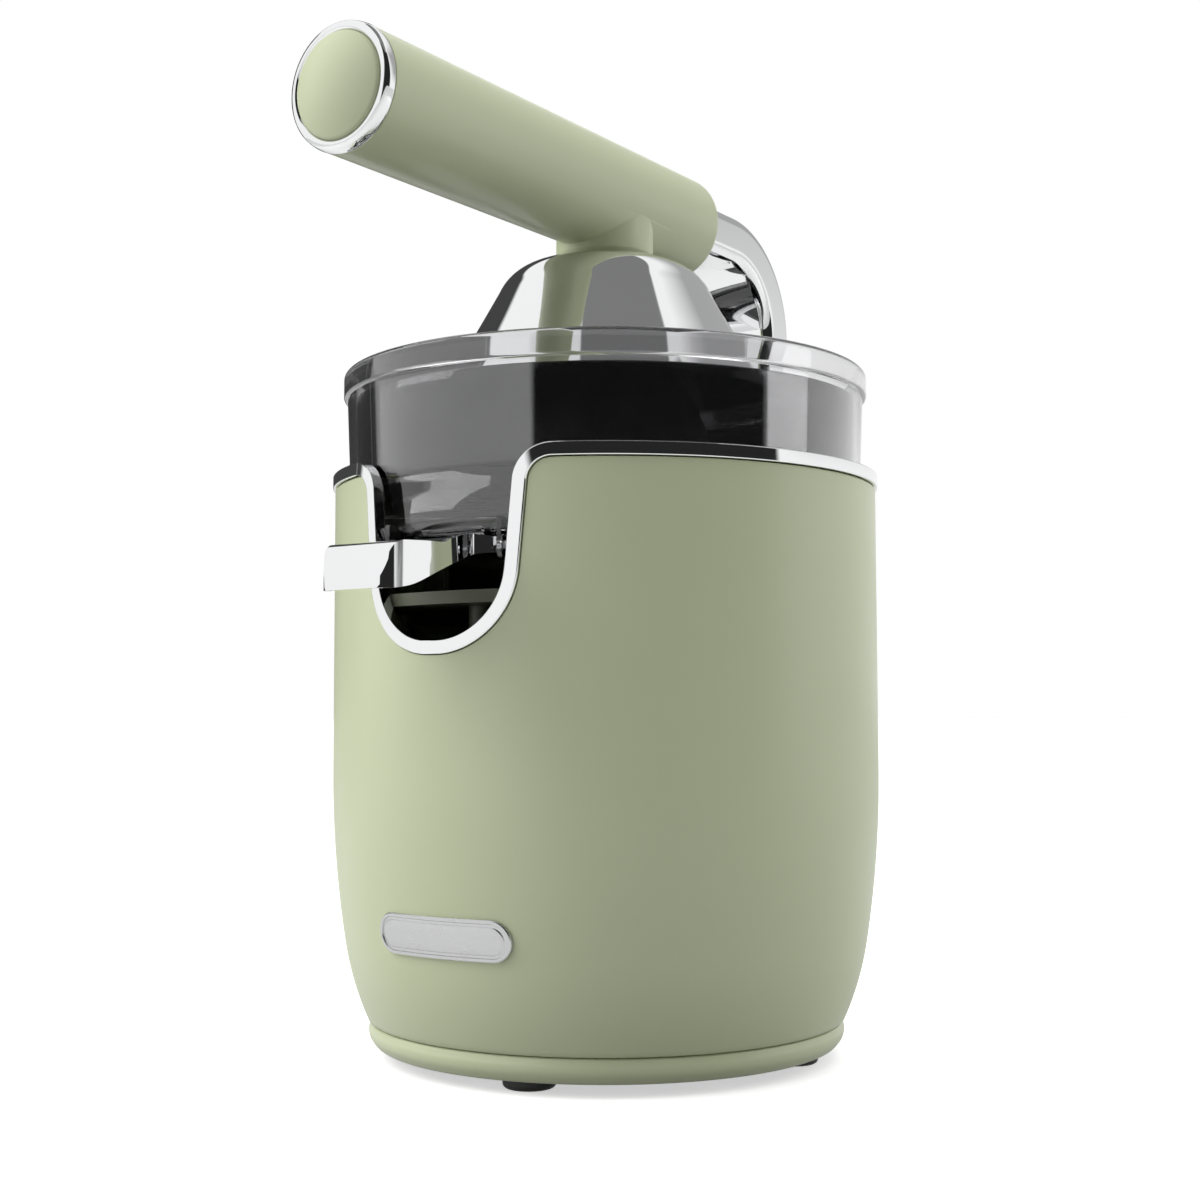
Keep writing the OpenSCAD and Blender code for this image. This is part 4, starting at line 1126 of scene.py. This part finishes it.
class PressSpout(bpy.types.Operator):
    """Flip-up pouring spout with its hood and drip lip"""

    bl_idname = "mesh.press_spout"
    bl_label = "Pouring spout"

    def execute(self, context):
        wall = context.scene.press_top.spout_wall / MM
        z, body, tip = BOWL_FLOOR, BODY_R, -spout_low.y
        hood = tip - 24
        top = [(tip, z - 19), (tip - 0.3, z - 17.4), (tip - 2.6, z - 10.5)]
        top += arc((tip - 8.3, z - 10.4), 5.8, 12, 86, 10)[1:]
        top += [(tip - 17, z - 4.3), (hood, z - 4.2)]
        top += flowing([(hood, z - 4.2), (hood - 4, z - 2.4), (body + 3, z - 0.8), (body - 2, z - 0.7)], 5)[1:]
        top += [(body - 5, z - 1.1), (body - 18, z - 1.1), (body - 18, z - 3.6)]
        under = flowing(
            [
                (body - 14, z - 5.6),
                (body - 2, z - 6.3),
                (body + 6, z - 8.7),
                (body + 17, z - 13.1),
                (tip - 11, z - 17.4),
                (tip - 4, z - 18.9),
            ],
            6,
        )
        side = [(-y, h) for y, h in top + under]
        spout = slab("pouring_spout", side, "side", -spout_high.x - 1, 2 * spout_high.x + 2)
        combine(spout, slab("plan", spout_plan(0, tip), "plan", z - 30, 60), "INTERSECT")
        round_edges(spout, 1.1, 4, 40)
        channel = [
            (body - 18 + wall, z + 5),
            (body - 18 + wall, z - 2.4),
            (body - 14, z - 5.6 + wall),
            (body - 2, z - 6.3 + wall),
            (body + 6, z - 8.7 + wall),
            (body + 17, z - 13.1 + wall),
            (tip - 15, z - 15.3 + wall),
            (tip - 15, z - 4.3 - wall),
            (hood, z - 4.2 - wall),
            (hood, z + 5),
        ]
        mouth = [
            (tip - 16, z - 4.4 - wall),
            (tip - 8, z - 4.9 - wall),
            (tip - 4 - wall, z - 8.4),
            (tip - 0.4 - wall, z - 17.4),
            (tip - wall, z - 25),
            (tip - 16, z - 25),
        ]
        for hollow in (channel, mouth):
            outline = [(-y, h) for y, h in hollow]
            tool = slab("hollow", outline, "side", -spout_high.x - 1, 2 * spout_high.x + 2)
            combine(tool, slab("plan", spout_plan(wall, tip), "plan", z - 40, 80), "INTERSECT")
            combine(spout, tool)
        pin_y, pin_z, pin_r = SPOUT_PIN
        bore = lathe("pin_bore", [(0, -60), (pin_r, -60), (pin_r, 60), (0, 60)], 32,
                     (0, pin_y, pin_z), SIDEWAYS)
        combine(spout, bore)
        even_shading(smooth(spout, 35))
        fitted(spout, "spout", "chrome", mirror_chrome(), "spout")
        return {"FINISHED"}


class PressDome(bpy.types.Operator):
    """Polished press dome and the dark collar above it"""

    bl_idname = "mesh.press_dome"
    bl_label = "Press dome"

    def execute(self, context):
        wall = context.scene.press_top.dome_wall / MM
        top, low, r = dome_high.z, dome_low.z, dome_high.x
        outer = dome_side(0)
        lip = [(r - 0.05, low + 0.5), (r - 0.5, low), (r - wall + 0.3, low), (r - wall, low + 0.5)]
        dome = lathe("polished_dome", outer + lip + list(reversed(dome_side(wall))), 224)
        smooth(dome, 40)
        fitted(dome, "dome", "chrome", mirror_chrome(), "press_dome")
        stem_low, stem_high = node_box("dome_stem")
        neck_z = handle_low.z
        collar, stem = 13.8, 8
        profile = [(0, stem_low.z), (20, stem_low.z), (20, stem_low.z + 3), (collar, stem_low.z + 3)]
        profile += between(profile[-1], (collar, neck_z - 2.2), 3)
        profile += arc((collar - 1, neck_z - 2.2), 1, 0, 90, 5)
        profile += [(stem, neck_z - 1.2), (stem, stem_high.z - 1), (stem - 1, stem_high.z)]
        profile += [(0, stem_high.z)]
        neck = lathe("neck_collar", profile, 96)
        pin = node_box("dome_pin")
        pin_r, pin_z = (pin[1].y - pin[0].y) / 2 + 0.05, (pin[0].z + pin[1].z) / 2
        bore = lathe("bore", [(0, -30), (pin_r, -30), (pin_r, 30), (0, 30)], 32, (0, 0, pin_z),
                     SIDEWAYS)
        combine(neck, bore)
        smooth(neck, 35)
        fitted(neck, "dome", "dark_plastic", olive_moulding_and_painted_shade(), "dome_stem")
        return {"FINISHED"}


class PressHandle(bpy.types.Operator):
    """Round painted handle with its neck, end ring and end cap"""

    bl_idname = "mesh.press_handle"
    bl_label = "Handle"

    def execute(self, context):
        neck_r = context.scene.press_top.neck_radius / MM
        r = handle_high.x
        front, back, z = -handle_low.y, handle_high.y, HANDLE_Z
        bore = r - 3
        side = [(0, back)] + list(reversed(arc((r - 3, back - 3), 3, 0, 90, 8)))
        side += between((r, back - 3), (r, -front + 0.3), 8)
        side += [(r, -front + 0.3), (r - 0.3, -front), (bore, -front), (bore, back - 6)]
        side += [(0, back - 6)]
        handle = lathe("round_handle", side, 160, (0, 0, z), BACKWARD)
        low = handle_low.z
        neck_side = [(0, low), (neck_r - 1.6, low), (neck_r - 1.2, low + 0.1)]
        neck_side += [(neck_r - 0.15, low + 1.3), (neck_r, low + 1.8), (neck_r, z - 4), (0, z - 4)]
        combine(handle, lathe("neck", neck_side, 160), "UNION")
        neck_bore = 12.6
        hollow = [(0, low - 1), (neck_bore, low - 1), (neck_bore, z - 1), (0, z - 1)]
        combine(handle, lathe("neck_bore", hollow, 96))
        tenon_w, tenon_t = 11.1, 7.1
        slot = [(-tenon_w, z - tenon_t), (tenon_w, z - tenon_t), (tenon_w, z + tenon_t),
                (-tenon_w, z + tenon_t)]
        combine(handle, slab("slot", slot, "front", 0, 90))
        pin = node_box("dome_pin")
        pin_r, pin_z, pin_l = (pin[1].y - pin[0].y) / 2 + 0.1, (pin[0].z + pin[1].z) / 2, pin[1].x
        cross = [(0, -pin_l), (pin_r, -pin_l), (pin_r, pin_l), (0, pin_l)]
        combine(handle, lathe("cross", cross, 32, (0, 0, pin_z), SIDEWAYS))
        smooth(handle, 30)
        fitted(handle, "lever", "green_paint", sage_paint(), "handle")
        ring_low, ring_high = node_box("handle_ring")
        cap_low, cap_high = node_box("handle_cap")
        cap_r = cap_high.x
        face, depth = -ring_low.y, -ring_high.y
        out = ring_high.x
        ring = [(cap_r + 0.1, depth), (bore - 0.1, depth), (bore - 0.1, front), (out - 0.25, front)]
        ring += flowing([(out - 0.25, front), (out, front + 0.8), (out - 0.5, face - 0.9),
                         (out - 1.5, face - 0.15), (cap_r + 0.9, face), (cap_r + 0.1, face - 0.5)], 6)[1:]
        ring = [(a, b) for a, b in ring]
        band = smooth(lathe("end_ring", ring, 160, (0, 0, z), FORWARD), 35)
        fitted(band, "lever", "chrome", mirror_chrome(), "handle_ring")
        tip = -cap_low.y
        bulge = tip - face
        ball = (cap_r**2 + bulge**2) / (2 * bulge)
        edge = 90 - math.degrees(math.asin((cap_r - 0.3) / ball))
        cap = [(0, -cap_high.y), (cap_r, -cap_high.y), (cap_r, face - 0.4)]
        cap += arc((0, tip - ball), ball, edge, 90, 20)
        button = smooth(lathe("end_cap", cap, 128, (0, 0, z), FORWARD), 40)
        fitted(button, "lever", "green_paint", sage_paint(), "handle_cap")
        return {"FINISHED"}


class PressArm(bpy.types.Operator):
    """Chromed swan-neck arm from the handle down to the hinge"""

    bl_idname = "mesh.press_arm"
    bl_label = "Swan-neck arm"

    def execute(self, context):
        s = context.scene.press_top
        width, bend = arm_high.x, s.arm_bend / MM
        thick, barrel = 18, 14
        back = handle_high.y
        leg = back + (LEG_Y - bend - back) + bend
        path = [(back, HANDLE_Z)] + arc((leg - bend, HANDLE_Z - bend), bend, 90, 0, 30)[0:]
        low = flowing(
            [
                (leg, HANDLE_Z - bend),
                (leg, bowl_high.z + 14),
                (leg + 0.3, bowl_high.z),
                (leg + 2.4, bowl_high.z - 14),
                (leg + 7, bowl_high.z - 29),
                (HINGE_Y - 2.2, HINGE_Z + 16),
                (HINGE_Y, HINGE_Z),
            ],
            7,
        )
        path += low[1:]
        left, right = [], []
        for i, here in enumerate(path):
            a = Vector(path[max(i - 1, 0)])
            b = Vector(path[min(i + 1, len(path) - 1)])
            out = Vector((a.y - b.y, b.x - a.x)).normalized()
            near = max(0, 1 - (Vector(here) - Vector((HINGE_Y, HINGE_Z))).length / 30)
            half = thick / 2 + (barrel - thick / 2) * near * near * (3 - 2 * near)
            left.append(tuple(Vector(here) + out * half))
            right.append(tuple(Vector(here) - out * half))
        turn = math.degrees(math.atan2(left[-1][1] - HINGE_Z, left[-1][0] - HINGE_Y))
        round_end = arc((HINGE_Y, HINGE_Z), barrel, turn, turn - 180, 28)[1:-1]
        outline = left + round_end + list(reversed(right))
        arm = slab("swan_arm", outline, "side", -width, 2 * width)
        round_edges(arm, s.arm_edge / MM, 6, 50)
        tenon = [(29.4, HANDLE_Z - 7), (back + 3, HANDLE_Z - 7), (back + 3, HANDLE_Z + 7),
                 (29.4, HANDLE_Z + 7)]
        combine(arm, slab("tenon", tenon, "side", -11, 22), "UNION")
        bush_r = node_box("arm_bushes")
        bush_r = (bush_r[1].z - bush_r[0].z) / 2 + 0.1
        bore = lathe("bore", [(0, -30), (bush_r, -30), (bush_r, 30), (0, 30)], 64,
                     (0, HINGE_Y, HINGE_Z), SIDEWAYS)
        combine(arm, bore)
        even_shading(smooth(arm, 50))
        fitted(arm, "lever", "chrome", mirror_chrome(), "arm")
        return {"FINISHED"}


class PressHinge(bpy.types.Operator):
    """Rear hinge bracket with its domed pin caps"""

    bl_idname = "mesh.press_hinge"
    bl_label = "Rear hinge"

    def execute(self, context):
        r = bracket_high.y - HINGE_Y
        out, low = bracket_high.x, bracket_low.z
        thick = 9
        near = BODY_R - 8
        cheek = [(near, HINGE_Z + r)] + arc((HINGE_Y, HINGE_Z), r, 90, -32, 36)
        cheek += flowing([cheek[-1], (BODY_R + 20, HINGE_Z - r - 6), (BODY_R + 9, low + 14),
                          (BODY_R + 5, low + 4), (BODY_R + 1, low)], 8)[1:]
        cheek += [(near, low)]
        bracket = slab("hinge_cheeks", cheek, "side", out - thick, thick)
        other = slab("other", cheek, "side", -out, thick)
        saddle = [(near, low), (BODY_R + 5, low), (BODY_R + 7, low + 4), (BODY_R + 7, HINGE_Z + r - 3),
                  (BODY_R + 4, HINGE_Z + r), (near, HINGE_Z + r)]
        middle = slab("saddle", saddle, "side", -out + 1, 2 * out - 2)
        combine(bracket, other, "UNION")
        combine(bracket, middle, "UNION")
        round_edges(bracket, 1.6, 3, 40)
        inside = trim_high.x + 0.1
        core = [(0, low - 5), (inside, low - 5), (inside, HINGE_Z + r + 5), (0, HINGE_Z + r + 5)]
        combine(bracket, lathe("core", core, 256))
        pin_r = (pin_high.z - pin_low.z) / 2 + 0.1
        bore = lathe("bore", [(0, -40), (pin_r, -40), (pin_r, 40), (0, 40)], 48,
                     (0, HINGE_Y, HINGE_Z), SIDEWAYS)
        combine(bracket, bore)
        for x in (-1, 1):
            for z in SCREW_HEIGHTS:
                hole = lathe("hole", [(0, 80), (2, 80), (2, 103), (0, 103)], 24,
                             (10 * x, 0, z), BACKWARD)
                combine(bracket, hole)
        even_shading(smooth(bracket, 35))
        fitted(bracket, "housing", "chrome", mirror_chrome(), "hinge_bracket")
        cap_high = node_box("hinge_caps")[1]
        tall, cap_r = cap_high.x - out, cap_high.z - HINGE_Z
        ball = (cap_r**2 + tall**2) / (2 * tall)
        edge = 90 - math.degrees(math.asin(cap_r / ball))
        dome = [(0, out), (cap_r, out)] + arc((0, out + tall - ball), ball, edge, 90, 14)[1:]
        for side, name in ((1, "right_hinge_cap"), (-1, "left_hinge_cap")):
            way = ((0, 0, 1), (side, 0, 0))
            cap = smooth(lathe(name, dome, 96, (0, HINGE_Y, HINGE_Z), way), 40)
            fitted(cap, "housing", "chrome", mirror_chrome(), "hinge_caps")
        return {"FINISHED"}


class PressCones(bpy.types.Operator):
    """Ribbed reaming cones, the small one under the large one"""

    bl_idname = "mesh.press_cones"
    bl_label = "Cones"

    def execute(self, context):
        ribs = context.scene.press_top.cone_ribs
        small_low, small_high = node_box("small_cone")
        large_low, large_high = node_box("large_cone")
        base = large_low.z
        small_r = small_high.x
        shaft = node_box("spindle")[1].z
        shapes = (
            ("ribbed_cone", large_high.x, large_high.z - base, 4, small_r + 0.3, small_r - 1.2,
             small_high.z - base + 1.3),
            ("inner_cone", small_r, small_high.z - base, 3, 4.1, 4.1, shaft - base + 0.2),
        )
        for name, flange, tall, groove, bore, hollow, depth in shapes:
            foot = flange - 2 if name == "ribbed_cone" else flange - 2.5
            skin = [(foot * (1 - (i / 22) ** 1.8), base + 2 + (tall - 2.4) * i / 22) for i in range(22)]
            tip = [(1.6, base + tall - 0.7), (0.9, base + tall - 0.2), (0, base + tall)]
            side = [(0, base + depth), (hollow * 0.2, base + depth)] if hollow > 5 else []
            if hollow > 5:
                side += [(hollow * (1 - (i / 9) ** 1.8), base + 2.4 + (depth - 2.4) * i / 9)
                         for i in range(8, -1, -1)]
                side += [(bore, base + 2.3), (bore, base)]
            else:
                side += [(0, base + depth), (bore, base + depth), (bore, base)]
            side += [(flange, base), (flange, base + 1.6), (flange - 0.4, base + 2)]
            cone = lathe(name, side + skin + tip, ribs * 24)

            def rib(x, y, z, foot=foot, tall=tall, groove=groove):
                r = math.hypot(x, y)
                t = (z - base - 2) / (tall - 2.4)
                if t <= 0.01 or r < 2 or r < foot * (1 - min(1, t) ** 1.8) - 0.5:
                    return x, y, z
                wave = abs(math.cos(ribs * math.atan2(y, x) / 2)) ** 1.6
                fade = min(1, t * 6) * min(1, (1.02 - t) * 4)
                keep = (r - groove * (1 - wave) * fade) / r
                return x * keep, y * keep, z

            move_points(cone, rib)
            smooth(cone, 50)
            node = "large_cone" if name == "ribbed_cone" else "small_cone"
            fitted(cone, "press", "white_nylon", white_nylon(), node)
        return {"FINISHED"}


class PressWorks(bpy.types.Operator):
    """Finishes for the deck, the motor, the gears and the other inner pieces"""

    bl_idname = "mesh.press_works"
    bl_label = "Inner works"

    def execute(self, context):
        slots = {part["node"]: part["material_slot"] for part in frame["record"]["subparts"]}
        for name, node in frame["nodes"].items():
            if node.hide_render:
                continue
            maker = NODE_FINISHES.get(name) or SLOT_FINISHES[slots[name]]
            node.data.materials.clear()
            node.data.materials.append(maker())
        return {"FINISHED"}


def studio_light(name, place, aim, size, power):
    bpy.ops.object.light_add(type="AREA", location=place)
    lamp = bpy.context.object
    lamp.name = name
    lamp.data.shape = "RECTANGLE"
    lamp.data.size, lamp.data.size_y = size
    lamp.data.energy = power
    lamp.visible_glossy = False
    lamp.rotation_euler = (Vector(aim) - Vector(place)).to_track_quat("-Z", "Y").to_euler()
    return lamp


def product(tree, one, other):
    """The product of two values."""
    node = tree.nodes.new("ShaderNodeMath")
    node.operation = "MULTIPLY"
    tree.links.new(one, node.inputs[0])
    tree.links.new(other, node.inputs[1])
    return node.outputs[0]


def scaled(tree, value, factor):
    """A value times a number."""
    return spread(tree, value, 0.0, 1.0, 0.0, factor)


def chosen(tree, switch, off, on):
    """One of two values, by a switch."""
    node = tree.nodes.new("ShaderNodeMix")
    tree.links.new(switch, node.inputs["Factor"])
    tree.links.new(off, node.inputs["A"])
    tree.links.new(on, node.inputs["B"])
    return node.outputs["Result"]


def band(tree, value, low, high, soft):
    """One between low and high, fading to nothing over soft on each side."""
    up = spread(tree, value, low - soft, low + soft, 0.0, 1.0)
    down = spread(tree, value, high - soft, high + soft, 1.0, 0.0)
    return product(tree, up, down)


SKY_PANELS = (
    (-87, 18, -90, 50, 0.02, 1.0),
    (125, 180.5, -90, 40, 0.02, 0.96),
    (-180.5, -175, -90, 40, 0.02, 0.96),
    (28, 112, 14, 50, 0.12, 0.6),
)
SKY_STRIP = ((-0.435, -0.799, 0.416), (0.902, 0.4, 0.161))


class PressStage(bpy.types.Operator):
    """Pale floor, soft studio light and the camera"""

    bl_idname = "mesh.press_stage"
    bl_label = "Stage"

    def execute(self, context):
        deselect()
        bpy.ops.mesh.primitive_plane_add(size=80, location=(0, 0, 0))
        floor = bpy.context.object
        floor.name = "stage_floor"
        pale = bpy.data.materials.new("Pale floor")
        pale.use_nodes = True
        tree = pale.node_tree
        shader = tree.nodes["Principled BSDF"]
        shader.inputs["Roughness"].default_value = 0.6
        shader.inputs["Specular IOR Level"].default_value = 0.2
        rays = tree.nodes.new("ShaderNodeLightPath")
        seen = tree.nodes.new("ShaderNodeMath")
        seen.operation = "MAXIMUM"
        tree.links.new(rays.outputs["Is Camera Ray"], seen.inputs[0])
        tree.links.new(scaled(tree, rays.outputs["Is Glossy Ray"], 0.4), seen.inputs[1])
        for label, low, high in (("Base Color", 0.3, 0.85), ("Emission Color", 0.0, 0.55)):
            tone = spread(tree, seen.outputs[0], 0.0, 1.0, low, high)
            tree.links.new(tone, shader.inputs[label])
        shader.inputs["Emission Strength"].default_value = 1.0
        floor.data.materials.append(pale)
        lamps = [
            studio_light("key_light", (-0.9, -0.7, 0.9), (0, 0, 0.15), (0.8, 0.9), 6.5),
            studio_light("top_light", (0.1, 0.1, 1.5), (0, 0, 0.1), (1.2, 1.2), 7),
            studio_light("rim_light", (1.0, 0.55, 0.5), (0, 0, 0.15), (0.5, 0.9), 3),
        ]
        self.sky(context)
        self.camera(context)
        context.scene.view_settings.view_transform = "Standard"
        context.scene.cycles.transmission_bounces = 12
        context.scene.cycles.max_bounces = 14
        return {"FINISHED"}

    def sky(self, context):
        """Paints the studio's white walls and black panels round the object."""
        world = bpy.data.worlds.new("Studio")
        context.scene.world = world
        world.use_nodes = True
        tree = world.node_tree
        back = tree.nodes["Background"]
        way = tree.nodes.new("ShaderNodeTexCoord").outputs["Generated"]
        split = tree.nodes.new("ShaderNodeSeparateXYZ")
        tree.links.new(way, split.inputs[0])
        turn = tree.nodes.new("ShaderNodeMath")
        turn.operation = "ARCTAN2"
        tree.links.new(split.outputs["Y"], turn.inputs[0])
        tree.links.new(split.outputs["X"], turn.inputs[1])
        height = tree.nodes.new("ShaderNodeMath")
        height.operation = "ARCSINE"
        tree.links.new(split.outputs["Z"], height.inputs[0])
        panels = []
        for low, high, bottom, top, soft, depth in SKY_PANELS:
            turns = band(tree, turn.outputs[0], math.radians(low), math.radians(high), soft)
            rises = band(tree, height.outputs[0], math.radians(bottom), math.radians(top), soft)
            panels.append(scaled(tree, product(tree, turns, rises), depth))
        overhead = spread(tree, split.outputs["Z"], 0.66, 0.72, 0.0, 1.0)
        for facing in SKY_STRIP:
            side = tree.nodes.new("ShaderNodeVectorMath")
            side.operation = "DOT_PRODUCT"
            tree.links.new(way, side.inputs[0])
            side.inputs[1].default_value = facing
            edge = spread(tree, side.outputs["Value"], -0.01, 0.01, 0.0, 1.0)
            overhead = product(tree, overhead, edge)
        panels.append(scaled(tree, overhead, 0.8))
        most = panels[0]
        for panel in panels[1:]:
            larger = tree.nodes.new("ShaderNodeMath")
            larger.operation = "MAXIMUM"
            tree.links.new(most, larger.inputs[0])
            tree.links.new(panel, larger.inputs[1])
            most = larger.outputs[0]
        rays = tree.nodes.new("ShaderNodeLightPath")
        seen = rays.outputs["Is Camera Ray"]
        soft = rays.outputs["Is Diffuse Ray"]
        sharp_light = spread(tree, most, 0.0, 1.0, 0.97, 0.02)
        soft_light = spread(tree, most, 0.0, 1.0, 1.7, 0.12)
        studio = chosen(tree, soft, sharp_light, soft_light)
        behind = tree.nodes.new("ShaderNodeValue")
        behind.outputs[0].default_value = 1.0
        tree.links.new(chosen(tree, seen, studio, behind.outputs[0]), back.inputs["Color"])

    def camera(self, context):
        """Sets the camera at its place and aim."""
        away, side, rise = CAMERA_AWAY, CAMERA_SIDE, CAMERA_RISE
        forward = Vector((-math.sin(side), math.cos(side), 0))
        across = Vector((math.cos(side), math.sin(side), 0))
        level = forward * math.cos(CAMERA_YAW) - across * math.sin(CAMERA_YAW)
        right = across * math.cos(CAMERA_YAW) + forward * math.sin(CAMERA_YAW)
        top = Vector((0, 0, 1))
        ahead = level * math.cos(CAMERA_PITCH) + top * math.sin(CAMERA_PITCH)
        up = top * math.cos(CAMERA_PITCH) - level * math.sin(CAMERA_PITCH)
        turned = right * math.cos(CAMERA_ROLL) - up * math.sin(CAMERA_ROLL)
        lifted = up * math.cos(CAMERA_ROLL) + right * math.sin(CAMERA_ROLL)
        bpy.ops.object.camera_add()
        camera = bpy.context.object
        camera.name = "studio_camera"
        camera.data.lens = CAMERA_LENS
        camera.data.sensor_width = 36
        camera.data.clip_start = 0.02
        camera.matrix_world = Matrix(
            (
                (turned.x, lifted.x, -ahead.x, -forward.x * away),
                (turned.y, lifted.y, -ahead.y, -forward.y * away),
                (turned.z, lifted.z, -ahead.z, rise),
                (0, 0, 0, 1),
            )
        )
        context.scene.camera = camera


PIECES = (
    PressShell,
    PressTrim,
    PressBase,
    PressBadge,
    PressBowl,
    PressBasket,
    PressSpout,
    PressDome,
    PressHandle,
    PressArm,
    PressHinge,
    PressCones,
    PressWorks,
    PressStage,
)


class PressPanel(bpy.types.Panel):
    """Lists the press's pieces with their sizes and colours"""

    bl_idname = "VIEW3D_PT_citrus_press"
    bl_label = "Citrus Press"
    bl_space_type = "VIEW_3D"
    bl_region_type = "UI"
    bl_category = "Citrus Press"

    def draw(self, context):
        for group in SETTINGS:
            box = self.layout.box()
            for name in group.__annotations__:
                box.prop(getattr(context.scene, SETTINGS[group]), name)
        for piece in PIECES:
            self.layout.operator(piece.bl_idname)


SETTINGS = {
    PressBodySizes: "press_body",
    PressTopSizes: "press_top",
    PressColours: "press_colours",
}


def register():
    for group, name in SETTINGS.items():
        bpy.utils.register_class(group)
        setattr(bpy.types.Scene, name, PointerProperty(type=group))
    for thing in (*PIECES, PressPanel):
        bpy.utils.register_class(thing)


def unregister():
    for thing in (PressPanel, *reversed(PIECES)):
        bpy.utils.unregister_class(thing)
    for group, name in SETTINGS.items():
        delattr(bpy.types.Scene, name)
        bpy.utils.unregister_class(group)


def main():
    register()
    for piece in PIECES:
        family, name = piece.bl_idname.split(".")
        getattr(getattr(bpy.ops, family), name)()


if __name__ == "__main__":
    main()
